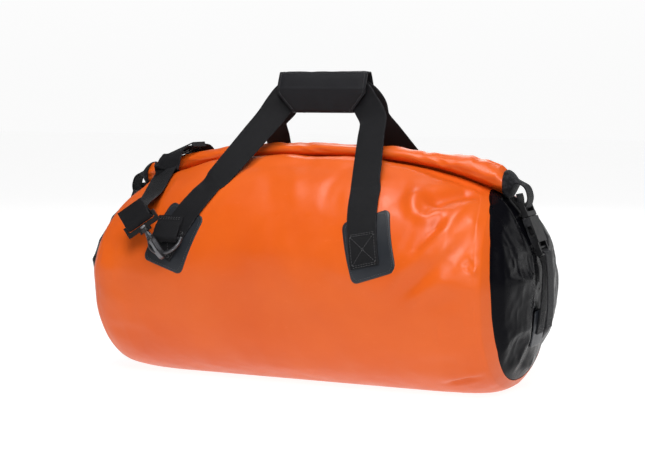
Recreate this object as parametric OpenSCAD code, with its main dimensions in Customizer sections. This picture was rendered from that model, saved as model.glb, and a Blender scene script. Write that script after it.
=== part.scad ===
// Duffel-shaped roll-top dry bag. X runs along the bag, the front faces -Y, Z is up, the floor is Z = 0.

/* [Bag] */
// Half length of the tube's end curve, mm
half_len = 281; // [220:1:380]
// Width of the filled bag, front to back, mm
body_w = 292; // [200:1:400]
// Height of the widest line above the floor, mm
mid_z = 136; // [90:1:200]
// Height of the mouth's lips at the middle, mm
mouth_z = 288; // [200:1:400]
// How far the lips sink at 240 mm from the middle, mm
crown_sag = 38; // [0:1:80]
// Distance of the end seams from the middle, mm
seam_x = 266; // [180:1:360]
// Distance of the end panel's pole from the middle, mm
pole_x = 298; // [200:1:400]
// Thickness of the coated fabric as drawn, mm
wall = 1.6; // [0.6:0.1:3]

/* [Roll] */
// Half width of the rolled mouth, mm
roll_ry = 19; // [12:0.5:30]
// Half height of the rolled mouth at the middle, mm
roll_rz = 9; // [6:0.5:16]
// Extra half height of the roll at its ends, mm
roll_flare = 6.5; // [0:0.5:12]
// Turns of the rolled sheet
roll_turns = 2.25; // [1.25:0.25:3.25]
// Half length of the roll, mm
roll_len = 258; // [150:1:360]

/* [Webbing] */
// Width of the carry webbing, mm
web_w = 38; // [20:1:50]
// Thickness of the carry webbing, mm
web_t = 2; // [1:0.1:3]
// Width of the buckle webbing, mm
strap_w = 25; // [15:1:38]

/* [Handles] */
// Distance of the wider-set handle patch from the middle, mm
patch_far = 147; // [100:1:200]
// Distance of the closer-set handle patch from the middle, mm
patch_near = 124.5; // [90:1:180]
// Height of the handle patches' centres, mm
patch_z = 186; // [120:1:220]
// Lean of the handle patches, degrees
patch_lean = 18; // [0:1:35]
// Height of the middle of the joined grip, mm
grip_z = 373; // [330:1:440]
// Length of the grip wrap, mm
grip_len = 126; // [90:1:160]

/* [Buckles] */
// Slant of the end buckles from the vertical, degrees
buckle_slant = 22; // [0:1:35]
// Width of the buckle socket, mm
socket_w = 34; // [28:1:44]
// Thickness of the buckle socket, mm
socket_t = 10; // [8:0.5:14]

/* [Hooks] */
// Diameter of the ring's wire, mm
ring_wire = 4.5; // [3:0.1:7]
// Radius of the ring's wire centre line, mm
ring_r = 22.5; // [15:0.5:30]
// Tilt of the resting ring from the vertical, degrees
ring_tilt = 36; // [10:1:60]

/* [Hidden] */

$fn = 24;
gap = 0.3;          // clearance between pieces that move against each other
touch = 0.1;        // clearance between pieces welded or sewn together
end_round = 10;     // exponent of the tube's end curve
low_round = 2.2;    // exponent of the tube's lower half
top_lean = 0.07;    // how far the top of the ends leans in
sink = 6;           // how far the lower half would dip under the floor if it were not flat
cap_z = 130;        // height of the end panel's pole
cap_pow = 2.6;      // how fast the end panel curves off
ring_n = 44;        // points round the tube
lap = 8;            // welded overlap at the end seams
lip_gap = 12;       // half opening between the mouth's lips
roll_gap = 0.6;     // clearance between the body's crown and the roll
orange = [0.92, 0.38, 0.17];
black = [0.10, 0.10, 0.11];
slate = [0.20, 0.21, 0.23];
steel = [0.75, 0.76, 0.78];

// vector helpers
function unit(v) = v / norm(v);
function lerp(a, b, f) = a + (b - a)*f;
function cr(a, b, c, d, t) = 0.5*((2*b) + (c - a)*t + (2*a - 5*b + 4*c - d)*t*t + (3*b - a - 3*c + d)*t*t*t);
function at(p, i) = p[max(0, min(len(p) - 1, i))];
function spline(p, n) = [
  for (i = [0:len(p) - 2]) for (k = [0:n - 1]) cr(at(p, i - 1), p[i], p[i + 1], at(p, i + 2), k/n),
  p[len(p) - 1]
];
function head(v) = [v[0], v[1], v[2]];
function tail(v) = [v[3], v[4], v[5]];

// the filled tube: one point of its skin at station x and angle a (0 front, 90 top), w under the surface
function ek(x) = pow(max(0.0001, 1 - pow(abs(x)/half_len, end_round)), 1/end_round);
function crown(x) = mouth_z - crown_sag*pow(abs(x)/240, 2.6);
function fat(c, s) = pow(pow(abs(c), low_round) + pow(abs(s), low_round), -1/low_round);
function skin(x, a, w) =
  let (c = cos(a), s = sin(a), k = ek(x), v = max(s, 0), r = s < 0 ? fat(c, s) : 1)
  let (xs = x*(1 - top_lean*pow(v, 1.8)*pow(abs(x)/275, 4)))
  [
    xs,
    -(body_w/2 - w)*k*r*c,
    s < 0 ? max(w - 0.4, mid_z + (k*(mid_z + sink) - w)*r*s) : mid_z + (crown(xs) - w - mid_z)*v
  ];

// distance of the front face from the middle plane at a place on it, and a point that far off it
function low_part(h, x) = pow(max(0.0001, 1 - pow(h/(ek(x)*(mid_z + sink)), low_round)), 1/low_round);
function fy(x, z) = body_w/2*ek(x)*(
  z > mid_z ? sqrt(max(0.0001, 1 - pow((z - mid_z)/(crown(x) - mid_z), 2))) : low_part(mid_z - z, x)
);
function off_skin(x, z, o) =
  let (gx = (fy(x + 1, z) - fy(x - 1, z))/2, gz = (fy(x, z + 1) - fy(x, z - 1))/2)
  [x, -fy(x, z), z] + o*unit([-gx, -1, -gz]);

// the end panel: a point of it at ring fraction s (1 seam, 0 pole)
function cap(s, a, w) =
  let (q = skin(seam_x + touch, a, w), p = pole_x - w)
  [p - (p - q[0])*pow(s, cap_pow), q[1]*s, cap_z + (q[2] - cap_z)*s];
function cap_x(y, z) =
  let (top = crown(seam_x*(1 - top_lean)) - cap_z, high = z > cap_z)
  let (s = norm([y/(body_w/2*ek(seam_x)), (z - cap_z)/(high ? top : cap_z)]))
  pole_x - (pole_x - seam_x*(1 - (high ? top_lean*0.87 : 0)))*pow(s, cap_pow);

// a solid skinned over rings of equal length, first and last ring closed by a face
module rings(rows) {
  n = len(rows[0]);
  m = len(rows);
  polyhedron(
    points = [for (r = rows) each r],
    faces = [
      for (i = [0:m - 2]) for (j = [0:n - 1])
        [i*n + j, (i + 1)*n + j, (i + 1)*n + (j + 1)%n, i*n + (j + 1)%n],
      [for (j = [0:n - 1]) j],
      [for (j = [n - 1:-1:0]) (m - 1)*n + j]
    ],
    convexity = 10
  );
}

// a sheet between two equal grids of points: each row of a is the outside, the same row of b the inside
module sheet(a, b) {
  n = len(a[0]);
  m = len(a);
  q = 2*n;
  polyhedron(
    points = [for (i = [0:m - 1]) each concat(a[i], b[i])],
    faces = [
      for (i = [0:m - 2]) for (j = [0:n - 2])
        [i*q + j, (i + 1)*q + j, (i + 1)*q + j + 1, i*q + j + 1],
      for (i = [0:m - 2]) for (j = [0:n - 2])
        [i*q + n + j, i*q + n + j + 1, (i + 1)*q + n + j + 1, (i + 1)*q + n + j],
      for (i = [0:m - 2]) [i*q, i*q + n, (i + 1)*q + n, (i + 1)*q],
      for (i = [0:m - 2]) [i*q + n - 1, (i + 1)*q + n - 1, (i + 1)*q + q - 1, i*q + q - 1],
      for (j = [0:n - 2]) [j, j + 1, j + n + 1, j + n],
      for (j = [0:n - 2]) [(m - 1)*q + j, (m - 1)*q + n + j, (m - 1)*q + n + j + 1, (m - 1)*q + j + 1]
    ],
    convexity = 10
  );
}

// webbing along a path of [x, y, z, and the direction of its width]
module webbing(path, w, t) {
  m = len(path);
  rings([
    for (i = [0:m - 1])
      let (d = unit(head(at(path, i + 1)) - head(at(path, i - 1))), u0 = tail(path[i]))
      let (u = unit(u0 - d*(u0*d)), n = cross(d, u), p = head(path[i]))
      [p + u*w/2 + n*t/2, p - u*w/2 + n*t/2, p - u*w/2 - n*t/2, p + u*w/2 - n*t/2]
  ]);
}

// a piece of sheet lying on the front face: centre, lean, half width, from b0 to b1 along its own height
function on_face(cx, cz, lean, a, b, o) = off_skin(cx + a*cos(lean) - b*sin(lean), cz + a*sin(lean) + b*cos(lean), o);
function half_row(hw, b, b0, b1, r) =
  let (e = max(0, r - min(b - b0, b1 - b)))
  hw - r + sqrt(max(0, r*r - e*e));
module face_sheet(cx, cz, lean, hw, b0, b1, r, lift, t) {
  rows = [for (i = [0:12]) lerp(b0, b1, (1 - cos(15*i))/2)];
  cols = [-1, -0.6, -0.2, 0.2, 0.6, 1];
  sheet(
    [for (b = rows) [for (c = cols) on_face(cx, cz, lean, c*half_row(hw, b, b0, b1, r), b, lift + t)]],
    [for (b = rows) [for (c = cols) on_face(cx, cz, lean, c*half_row(hw, b, b0, b1, r), b, lift)]]
  );
}

// body and ends
module body_panel() {
  n_x = 10;
  stations = [for (i = [-n_x:n_x]) seam_x*sin(90*i/n_x)];
  color(orange) difference() {
    sheet(
      [for (x = stations) body_row(x, 0)],
      [for (x = stations) body_row(x, wall)]
    );
    translate([-400, -300, -10]) cube([800, 600, 10]);
  }
}
function lip(x) = 1.5 + (lip_gap - 1.5)*(1 - pow(abs(x)/seam_x, 6));
function body_row(x, w) =
  let (a0 = acos(lip(x)/(body_w/2*ek(x))))
  [for (j = [0:ring_n]) skin(x, a0 - (180 + 2*a0)*j/ring_n, w)];

module end_panel() {
  in = wall + touch*5;
  outer = [0.06, 0.22, 0.42, 0.6, 0.75, 0.87, 0.95, 1];
  ang = [for (j = [0:ring_n - 1]) 360*j/ring_n];
  difference() {
    rings([
      for (s = outer) [for (a = ang) cap(s, a, 0)],
      [for (a = ang) skin(seam_x + touch, a, in)],
      [for (a = ang) skin(seam_x - lap, a, in)],
      [for (a = ang) skin(seam_x - lap, a, in + wall)],
      [for (a = ang) skin(seam_x - touch, a, in + wall)],
      for (i = [6:-1:0]) [for (a = ang) cap(outer[i], a, wall)]
    ]);
    translate([0, -300, -10]) cube([400, 600, 10]);
  }
}
module end_panel_right() { color(black) end_panel(); }
module end_panel_left() { color(black) rotate([0, 0, 180]) end_panel(); }

// the two layers of the mouth between the lips and the roll
module mouth_collar() {
  st = [for (i = [-10:10]) (roll_len - 14)*i/10];
  color(orange) for (side = [-1, 1]) {
    sheet(
      [for (x = st) [
        [x, side*(side > 0 ? 2.8 : 1.2), crown(x) - 22],
        [x, side*(side > 0 ? 2.8 : 1.2), crown(x) + roll_gap - gap*1.5]
      ]],
      [for (x = st) [
        [x, side*(side > 0 ? 1.2 : 2.8), crown(x) - 22],
        [x, side*(side > 0 ? 1.2 : 2.8), crown(x) + roll_gap - gap*1.5]
      ]]
    );
  }
}

// the roll
function roll_h(x) = roll_rz + roll_flare*pow(abs(x)/seam_x, 3);
function roll_mid(x) = crown(x) + roll_gap + roll_h(x);
function roll_row(x, t) = [
  for (j = [0:36])
    let (f = j/36, a = -90 - 360*roll_turns*f, ry = roll_ry*(1 - 0.3*f), rz = roll_h(x)*(1 - 0.6*f))
    [x, (ry - t)*cos(a), roll_mid(x) + (rz - t)*sin(a)]
];
module roll_top() {
  st = [for (i = [9:-1:-9]) roll_len*sin(90*i/9)];
  color(orange) sheet([for (x = st) roll_row(x, 0)], [for (x = st) roll_row(x, wall)]);
}
module stiffener_strip() {
  color(slate) webbing([for (i = [-10:10]) let (x = (roll_len - 2)*i/10) [x, 0, roll_mid(x), 0, 1, 0]], 20, 1.4);
}

// end closures, drawn for the right end and turned for the left
plug_p = [277, 0, 234];
module at_buckle() {
  translate(plug_p) rotate([0, -buckle_slant, 0]) children();
}
module roll_tab() {
  z0 = roll_mid(roll_len);
  webbing(spline([
    [roll_len + gap, 0, z0 + 3, 0, 1, 0], [268, 0, z0 + 3.5, 0, 1, 0], [279, 0, z0 - 2, 0, 1, 0],
    [283.4, 0, z0 - 13, 0, 1, 0], [282.6, 0, 236.5, 0, 1, 0], [280, 0, 229.8, 0, 1, 0],
    [275.6, 0, 229.4, 0, 1, 0], [272, 0, 233.5, 0, 1, 0], [271, 0, 241, 0, 1, 0], [269, 0, 247, 0, 1, 0]
  ], 3), strap_w, 1.6);
}
module roll_tab_right() { color(black) roll_tab(); }
module roll_tab_left() { color(black) rotate([0, 0, 180]) roll_tab(); }

module plug() {
  bar_r = 2.2;
  color(black) at_buckle() {
    rotate([90, 0, 0]) cylinder(r = bar_r, h = 30, center = true);
    for (s = [-1, 1]) translate([-3.5, s*15.5 - 1.75, -15]) cube([7, 3.5, 18]);
    translate([-4, -17.25, -16]) cube([8, 34.5, 6]);
    translate([-1.8, -2.5, -38]) cube([3.6, 5, 23]);
  }
}
module plug_right() { plug(); }
module plug_left() { rotate([0, 0, 180]) plug(); }

// one sprung arm of the plug: root pad, slim arm, barb
module prong(s) {
  color(black) at_buckle() scale([1, s, 1]) {
    rotate([90, 0, 90]) translate([0, 0, -1.8]) linear_extrude(3.6) polygon([
      [9, -16.3], [13, -16.3], [13, -30], [14.2, -33], [12.5, -39], [9.5, -39], [9.5, -33], [9, -30]
    ]);
  }
}
module prong_right_front() { prong(-1); }
module prong_right_rear() { prong(1); }
module prong_left_front() { rotate([0, 0, 180]) prong(1); }
module prong_left_rear() { rotate([0, 0, 180]) prong(-1); }

module socket() {
  z1 = -17;
  z0 = -50;
  color(black) at_buckle() {
    difference() {
      translate([-socket_t/2, -socket_w/2, z0]) cube([socket_t, socket_w, z1 - z0]);
      translate([-2.6, -14.9, z0 + 5]) cube([5.2, 29.8, 40]);
      for (s = [-1, 1]) translate([-2.6, s*15 - 4, -42]) cube([5.2, 8, 14]);
    }
    for (s = [-1, 1]) translate([-3.5, s*15.25 - 1.75, z0 - 16]) cube([7, 3.5, 16.5]);
    for (z = [z0 - 15, z0 - 6.5]) translate([0, 0, z]) rotate([90, 0, 0]) cylinder(r = 1.8, h = 30, center = true);
  }
}
module socket_right() { socket(); }
module socket_left() { rotate([0, 0, 180]) socket(); }

// a place along the buckle's axis, d down it and o outward from it
function down_axis(d, o) = plug_p + [d*sin(buckle_slant) + o*cos(buckle_slant), 0, o*sin(buckle_slant) - d*cos(buckle_slant)];
function webp(p, y) = [p[0], p[1] + y, p[2], 0, 1, 0];
module end_tail() {
  webbing(spline([
    webp([309, 0, 82], 0), webp([311, 0, 110], 0), webp([310.5, 0, 140], 0),
    webp(down_axis(70, 5), 0), webp(down_axis(62.5, 3.3), 0), webp(down_axis(59.6, 0), 0),
    webp(down_axis(62.5, -3.3), 0), webp(down_axis(69, -3.2), 0)
  ], 3), strap_w, 1.5);
}
module end_tail_right() { color(black) end_tail(); }
module end_tail_left() { color(black) rotate([0, 0, 180]) end_tail(); }

module end_strap() {
  webbing(spline([
    webp([303.4, 0, 163], 0), webp([304, 0, 148], 0), webp([303, 0, 125], 0),
    webp([cap_x(0, 108) + 4.2, 0, 108], 0), webp([cap_x(0, 92) + 3.2, 0, 92], 0), webp([cap_x(0, 74) + 3.2, 0, 74], 0)
  ], 3), strap_w, 1.5);
}
module end_strap_right() { color(black) end_strap(); }
module end_strap_left() { color(black) rotate([0, 0, 180]) end_strap(); }

module anchor_patch() {
  rows = [for (i = [0:12]) lerp(-26, 20, (1 - cos(15*i))/2)];
  cols = [-1, -0.5, 0, 0.5, 1];
  function pt(b, c, o) = let (y = c*half_row(22, b, -26, 20, 6)) [cap_x(y, 84 + b) + o, y, 84 + b];
  sheet(
    [for (b = rows) [for (c = cols) pt(b, c, 2)]],
    [for (b = rows) [for (c = cols) pt(b, c, 0.8)]]
  );
}
module anchor_patch_right() { color(slate) anchor_patch(); }
module anchor_patch_left() { color(slate) rotate([0, 0, 180]) anchor_patch(); }

// handle patches and the sewn ends of the handles; side -1 is the wider-set place, +1 the closer one
patch_t = 1.2;
function patch_x(side) = side < 0 ? -patch_far : patch_near;
module patch(side) {
  face_sheet(patch_x(side), patch_z, -side*-patch_lean, 30, -38, 38, 8, touch, patch_t);
}
module patch_front_left() { color(slate) patch(-1); }
module patch_front_right() { color(slate) patch(1); }
module patch_rear_left() { color(slate) rotate([0, 0, 180]) patch(1); }
module patch_rear_right() { color(slate) rotate([0, 0, 180]) patch(-1); }

// the legs' own lines: foot on the patch and lean
hinge_z = 214;
function foot_x(side) = side < 0 ? -136 : 111;
function leg_lean(side) = side < 0 ? -29 : 14;
module handle_end(side) {
  b1 = (hinge_z - 1.9 - patch_z)/cos(leg_lean(side));
  cx = foot_x(side) + (hinge_z - patch_z)*tan(leg_lean(side));
  face_sheet(cx, patch_z, leg_lean(side), web_w/2, -24, b1, 0.5, touch*2 + patch_t, web_t);
}
module handle_end_front_left() { color(black) handle_end(-1); }
module handle_end_front_right() { color(black) handle_end(1); }
module handle_end_rear_left() { color(black) rotate([0, 0, 180]) handle_end(1); }
module handle_end_rear_right() { color(black) rotate([0, 0, 180]) handle_end(-1); }

// one handle: leg up from the patch, turn into the grip, grip, turn, leg down
grip_x = 4;         // the grip sits a little right of the middle
web_lift = 3.4;     // webbing's centre line over the skin where it passes the patch
leave_z = 250;      // where the leg leaves the skin
leg_top_z = 338;
leg_top_y = -20;
function leg_x(side, z) = foot_x(side) - (z - hinge_z)*tan(leg_lean(side));
function leg_edge(side, z, a) =
  let (l = leg_lean(side))
  off_skin(leg_x(side, z) + a*cos(l), z + a*sin(l), web_lift);
function leg_low(side, z) =
  let (p = leg_edge(side, z, web_w/2), q = leg_edge(side, z, -web_w/2))
  let (c = (p + q)/2, u = unit(p - q))
  [c[0], c[1], c[2], u[0], u[1], u[2]];
function leg_high(side, z) =
  let (l = leg_lean(side), f = (z - leave_z)/(leg_top_z - leave_z), start = leg_low(side, leave_z))
  [leg_x(side, z), lerp(start[1] - 2.6, leg_top_y, f), z, cos(l), 0.88*sin(l)*(1 - f), sin(l)];
function leg(side) = concat(
  [for (z = [hinge_z + 1.4, 222, 230, 240, leave_z]) leg_low(side, z)],
  [for (z = [261, 276, 297, 318, leg_top_z]) leg_high(side, z)]
);
function flip_u(p) = [p[0], p[1], p[2], -p[3], -p[4], -p[5]];
module handle(gx) {
  gy = -1.9;
  h = grip_len/2;
  left = [for (p = leg(-1)) flip_u(p)];
  right = leg(1);
  corner_l = [[gx - h + 1, -10.5, 355, -0.68, 0, 0.73], [gx - h + 11, -4.2, 368, -0.36, 0, 0.93]];
  corner_r = [[gx + h - 11, -4.2, 368, 0.42, 0, 0.9], [gx + h - 1, -10.5, 356, 0.80, 0, 0.6]];
  mid = [[gx - h + 26, gy, grip_z, 0, 0, 1], [gx, gy, grip_z, 0, 0, 1], [gx + h - 26, gy, grip_z, 0, 0, 1]];
  path = concat(left, corner_l, mid, corner_r, [for (i = [len(right) - 1:-1:0]) right[i]]);
  color(black) webbing(spline(path, 3), web_w, web_t);
}
module handle_front() { handle(grip_x); }
module handle_rear() { rotate([0, 0, 180]) handle(-grip_x); }

// the grip: a back half that stays on the rear handle and a flap that opens in front
grip_out = [[-11, -26.5], [11, -26.5], [14.5, -2], [12, 10], [5, 25], [-5, 25], [-12, 10], [-14.5, -2]];
grip_in = [[-9, -24.9], [9, -24.9], [12.3, -2], [9.9, 9], [4, 22.6], [-4, 22.6], [-9.9, 9], [-12.3, -2]];
flap_y = -4.6;      // the flap's hinge line
module grip_cut(h0, h1) {
  difference() {
    translate([-grip_len/2, 0, 0]) rotate([90, 0, 90]) linear_extrude(grip_len) difference() {
      polygon(grip_out);
      polygon(grip_in);
      polygon([[h0, -40], [h1, -40], [h1, 40], [h0, 40]]);
    }
    for (s = [-1, 1]) translate([s*(grip_len/2 - 21), 0, -27]) rotate([0, s*40, 0]) translate([s > 0 ? 0 : -40, -30, -20]) cube([40, 60, 60]);
  }
}
module grip_wrap() { color(black) translate([grip_x, 0, grip_z]) grip_cut(-40, flap_y + 0.2); }
module grip_flap() { color(black) translate([grip_x, 0, grip_z]) grip_cut(flap_y - 0.2, 40); }
tape_half = 42;     // half length of the touch tapes
module grip_hook_tape() {
  color(slate) translate([grip_x - tape_half, -4.2, grip_z - 28]) cube([2*tape_half, 14, 1.2]);
}
module grip_loop_tape() {
  color(slate) translate([grip_x - tape_half, -10.5, grip_z - 28]) cube([2*tape_half, 5.6, 1.2]);
}

// ring and its tab, drawn on the front left patch
ring_x = -153;
ring_z = 187;
ring_y = -(fy(-153, 187) + 8.9);
module d_ring() {
  translate([ring_x, ring_y, ring_z]) rotate([-ring_tilt, 0, 0]) {
    rotate([0, 90, 0]) cylinder(d = ring_wire, h = 2*ring_r, center = true);
    rotate([90, 0, 0]) rotate([0, 0, 180]) rotate_extrude(angle = 180) translate([ring_r, 0]) circle(d = ring_wire);
    for (s = [-1, 1]) translate([s*ring_r, 0, 0]) sphere(d = ring_wire + 0.6);
  }
}
module d_ring_front() { color(steel) d_ring(); }
module d_ring_rear() { color(steel) rotate([0, 0, 180]) d_ring(); }
module ring_tab() {
  r = ring_wire/2 + gap + 1.4;
  function lay(z, o) = let (p = off_skin(ring_x, z, o)) [p[0], p[1], p[2], 1, 0, 0];
  webbing(spline([
    lay(ring_z + 24, 4.9), lay(ring_z + 16, 4.9), lay(ring_z + 8, 4.9),
    [ring_x, ring_y + r - 0.2, ring_z + 1, 1, 0, 0], [ring_x, ring_y + 1.6, ring_z - r + 0.3, 1, 0, 0],
    [ring_x, ring_y - 1.6, ring_z - r + 0.3, 1, 0, 0], [ring_x, ring_y - r, ring_z, 1, 0, 0],
    [ring_x, ring_y - r + 1.4, ring_z + 3.6, 1, 0, 0], lay(ring_z + 11, 9), lay(ring_z + 17, 6.9), lay(ring_z + 24, 6.9)
  ], 3), web_w - 2, 1.6);
}
module ring_tab_front() { color(black) ring_tab(); }
module ring_tab_rear() { color(black) rotate([0, 0, 180]) ring_tab(); }

// snap hooks: local Z runs from the ring's wire to the webbing bar, local X points away from the bag
hook_pos = [-153, ring_y - ring_r*sin(ring_tilt), ring_z - ring_r*cos(ring_tilt)];
hook_ax = unit([-0.56, -0.08, 0.83]);
rear_pos = [153, -hook_pos[1], hook_pos[2]];
rear_ax = unit([0.06, 0.0, -1]);
module along(p, z, out) {
  y = unit(cross(z, out));
  x = cross(y, z);
  multmatrix([
    [x[0], y[0], z[0], p[0]],
    [x[1], y[1], z[1], p[1]],
    [x[2], y[2], z[2], p[2]],
    [0, 0, 0, 1]
  ]) children();
}
module at_front() { along(hook_pos, hook_ax, [0, -1, 0.3]) children(); }
module at_rear() { along(rear_pos, rear_ax, [0, 1, 0]) children(); }

module hook() {
  t = 5;
  difference() {
    union() {
      translate([0, t/2, 0]) rotate([90, 0, 0]) linear_extrude(t) difference() {
        hull() {
          translate([0, 2]) circle(r = 10);
          translate([0, 17]) circle(r = 10);
        }
        hull() {
          translate([0, 2]) circle(r = 7);
          translate([0, 17]) circle(r = 6.5);
        }
        translate([3, 3]) square([10, 14.5]);
      }
      translate([0, 0, 25]) cylinder(r1 = 4.6, r2 = 3, h = 7);
      translate([0, 0, 31]) cylinder(r = 3, h = 8);
      translate([0, 0, 38.6]) cylinder(r = 4.6, h = 2.6);
    }
    translate([7.4, 0, 19.5]) rotate([90, 0, 0]) cylinder(r = 1.3, h = 12, center = true);
    translate([2, -1.9, 15.5]) cube([12, 3.8, 6.6]);
  }
}
module gate() {
  difference() {
    union() {
      translate([5.9, -1.6, 3.5]) cube([3, 3.2, 14]);
      translate([7.4, 1.6, 19.5]) rotate([90, 0, 0]) cylinder(r = 2.1, h = 3.2);
      translate([5.9, -1.6, 16.5]) cube([3, 3.2, 2.5]);
    }
    translate([7.4, 0, 19.5]) rotate([90, 0, 0]) cylinder(r = 1.3, h = 12, center = true);
  }
}
module gate_pin() {
  translate([7.4, 0, 19.5]) rotate([90, 0, 0]) cylinder(r = 1, h = 5.4, center = true);
}
module hook_frame() {
  difference() {
    translate([0, 0, 33]) cylinder(r = 5.4, h = 4.8);
    translate([0, 0, 32]) cylinder(r = 3.4, h = 7);
  }
  difference() {
    translate([-2, -24, 33]) cube([4, 48, 19]);
    translate([-3, -20.5, 43]) cube([6, 41, 5.6]);
    translate([-3, -25, 31]) cube([6, 17, 6]);
    translate([-3, 8, 31]) cube([6, 17, 6]);
    translate([0, 0, 30]) cylinder(r = 5, h = 11.6);
  }
  for (s = [-1, 1]) translate([-2, s*6.2 - 1.6, 34]) cube([4, 3.2, 6]);
}
module hook_front() { color(black) at_front() hook(); }
module hook_rear() { color(black) at_rear() hook(); }
module gate_front() { color(steel) at_front() gate(); }
module gate_rear() { color(steel) at_rear() gate(); }
module gate_pin_front() { color(steel) at_front() gate_pin(); }
module gate_pin_rear() { color(steel) at_rear() gate_pin(); }
module hook_frame_front() { color(black) at_front() hook_frame(); }
module hook_frame_rear() { color(black) at_rear() hook_frame(); }

// shoulder webbing: from the front hook over the left end of the roll, down behind and along to the rear hook
bar_z = 50.3;      // height of the hook frame's webbing bar in the hook's own frame
front_bar = hook_pos + hook_ax*bar_z;
rear_bar = rear_pos + rear_ax*bar_z;
bar_y = unit(cross(hook_ax, [0, -1, 0.3]));
bar_x = cross(bar_y, hook_ax);
split_front = [-213, -38, 268];
split_rear = [-196, 42, 274];
function wp(p, u) = [p[0], p[1], p[2], u[0], u[1], u[2]];
module strap_front() {
  u = bar_y;
  su = unit([0.93, 0, 0.36]);
  color(black) webbing(spline([
    wp(front_bar + bar_x*3.4 + hook_ax*22, u), wp(front_bar + bar_x*4.6 + hook_ax*8, u),
    wp(front_bar + bar_x*5.4, u), wp(front_bar - hook_ax*5.4, u), wp(front_bar - bar_x*5.4, u),
    wp(front_bar - bar_x*5.6 + hook_ax*11, u),
    wp([-203, -97, 236], su), wp([-211, -62, 253], su), wp([-213.3, -46, 262.5], su), wp(split_front, su)
  ], 4), web_w, web_t);
}
module strap_over() {
  u = unit([0.93, 0, 0.36]);
  color(black) webbing(spline([
    wp(split_front + [0.1, 0.8, 1.6], u), wp([-210.5, -32, 283], u), wp([-207.5, -23, 291.4], u),
    wp([-204, 0, 293], u), wp([-200.5, 23, 293.4], u), wp([-198, 34, 287], u), wp(split_rear + [-0.1, -0.4, 0.9], u)
  ], 4), web_w, web_t);
}
module strap_rear() {
  d = 152;
  ub = [1, 0, 0];
  color(black) webbing(spline([
    wp(split_rear, unit([0.93, 0, 0.36])), wp([-195.5, 52, 266], unit([0.95, 0, 0.3])), wp([-195, 90, 244], ub), wp([-196, 129, 206], ub),
    wp([-198, 144, 170], ub), wp([-198, d, 130], ub), wp([-188, d + 1, 92], unit([0.93, 0, 0.36])),
    wp([-155, d + 1, 56], unit([0.6, 0, 0.8])), wp([-100, d + 1, 35], unit([0.2, 0, 1])),
    wp([-40, d + 1, 28], [0, 0, 1]), wp([30, d + 1, 31], unit([-0.1, 0, 1])), wp([90, d + 1, 43], unit([-0.35, 0, 1])),
    wp([132, d + 3, 64], unit([-0.75, 0, 0.7])), wp([152, d + 6, 90], unit([-0.97, 0, 0.2])),
    wp(rear_bar + [-1, 5, -9], [-1, 0, 0]), wp(rear_bar + [0, 5, 0], [-1, 0, 0]),
    wp(rear_bar + [0, 0, 5], [-1, 0, 0]), wp(rear_bar + [0, -5, 0], [-1, 0, 0]), wp(rear_bar + [-0.6, -4.4, -8], [-1, 0, 0])
  ], 3), web_w, web_t);
}
module strap_slider() {
  color(black) translate([-204, 0, 293]) rotate([0, -21, -8.7]) difference() {
    translate([-24, -13, -3.4]) cube([48, 26, 6.8]);
    translate([-20.5, -10, -4]) cube([41, 8.6, 8]);
    translate([-20.5, 1.4, -4]) cube([41, 8.6, 8]);
    translate([-20.5, -14, -2]) cube([41, 28, 4]);
  }
}

body_panel();
end_panel_right();
end_panel_left();
mouth_collar();
roll_top();
stiffener_strip();
roll_tab_right();
roll_tab_left();
plug_right();
plug_left();
prong_right_front();
prong_right_rear();
prong_left_front();
prong_left_rear();
socket_right();
socket_left();
end_tail_right();
end_tail_left();
end_strap_right();
end_strap_left();
anchor_patch_right();
anchor_patch_left();
patch_front_left();
patch_front_right();
patch_rear_left();
patch_rear_right();
handle_end_front_left();
handle_end_front_right();
handle_end_rear_left();
handle_end_rear_right();
handle_front();
handle_rear();
grip_wrap();
grip_flap();
grip_hook_tape();
grip_loop_tape();
ring_tab_front();
ring_tab_rear();
d_ring_front();
d_ring_rear();
hook_front();
hook_rear();
gate_front();
gate_rear();
gate_pin_front();
gate_pin_rear();
hook_frame_front();
hook_frame_rear();
strap_front();
strap_over();
strap_rear();
strap_slider();
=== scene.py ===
import math

import bmesh
import bpy
import numpy as np
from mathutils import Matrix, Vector


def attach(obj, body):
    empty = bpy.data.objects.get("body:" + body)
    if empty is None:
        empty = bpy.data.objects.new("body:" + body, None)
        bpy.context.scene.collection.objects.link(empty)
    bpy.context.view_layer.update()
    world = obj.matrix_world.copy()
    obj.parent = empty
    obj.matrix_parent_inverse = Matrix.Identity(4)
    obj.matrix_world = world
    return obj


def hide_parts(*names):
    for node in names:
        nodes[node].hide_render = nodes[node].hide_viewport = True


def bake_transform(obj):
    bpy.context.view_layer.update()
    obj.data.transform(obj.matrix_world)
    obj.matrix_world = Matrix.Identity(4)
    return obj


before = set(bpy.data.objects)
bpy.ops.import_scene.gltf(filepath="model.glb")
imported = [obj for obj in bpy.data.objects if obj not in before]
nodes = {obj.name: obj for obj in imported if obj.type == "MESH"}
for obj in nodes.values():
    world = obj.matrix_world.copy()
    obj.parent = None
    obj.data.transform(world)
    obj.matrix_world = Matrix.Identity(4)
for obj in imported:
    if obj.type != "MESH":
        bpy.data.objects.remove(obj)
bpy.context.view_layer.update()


# ---- camera
AZIMUTH, ELEVATION, DISTANCE = math.radians(25), math.radians(5.3), 2.085
TARGET = Vector((0, 0, 0.188))
back = Vector((
    math.sin(AZIMUTH)*math.cos(ELEVATION),
    -math.cos(AZIMUTH)*math.cos(ELEVATION),
    math.sin(ELEVATION),
))
camera = bpy.data.objects.new("camera", bpy.data.cameras.new("camera"))
bpy.context.scene.collection.objects.link(camera)
camera.data.sensor_width = 36
camera.data.lens = 88.54
camera.location = TARGET + back*DISTANCE
camera.rotation_mode = "QUATERNION"
camera.rotation_quaternion = (-back).to_track_quat("-Z", "Y")
bpy.context.scene.camera = camera


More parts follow.
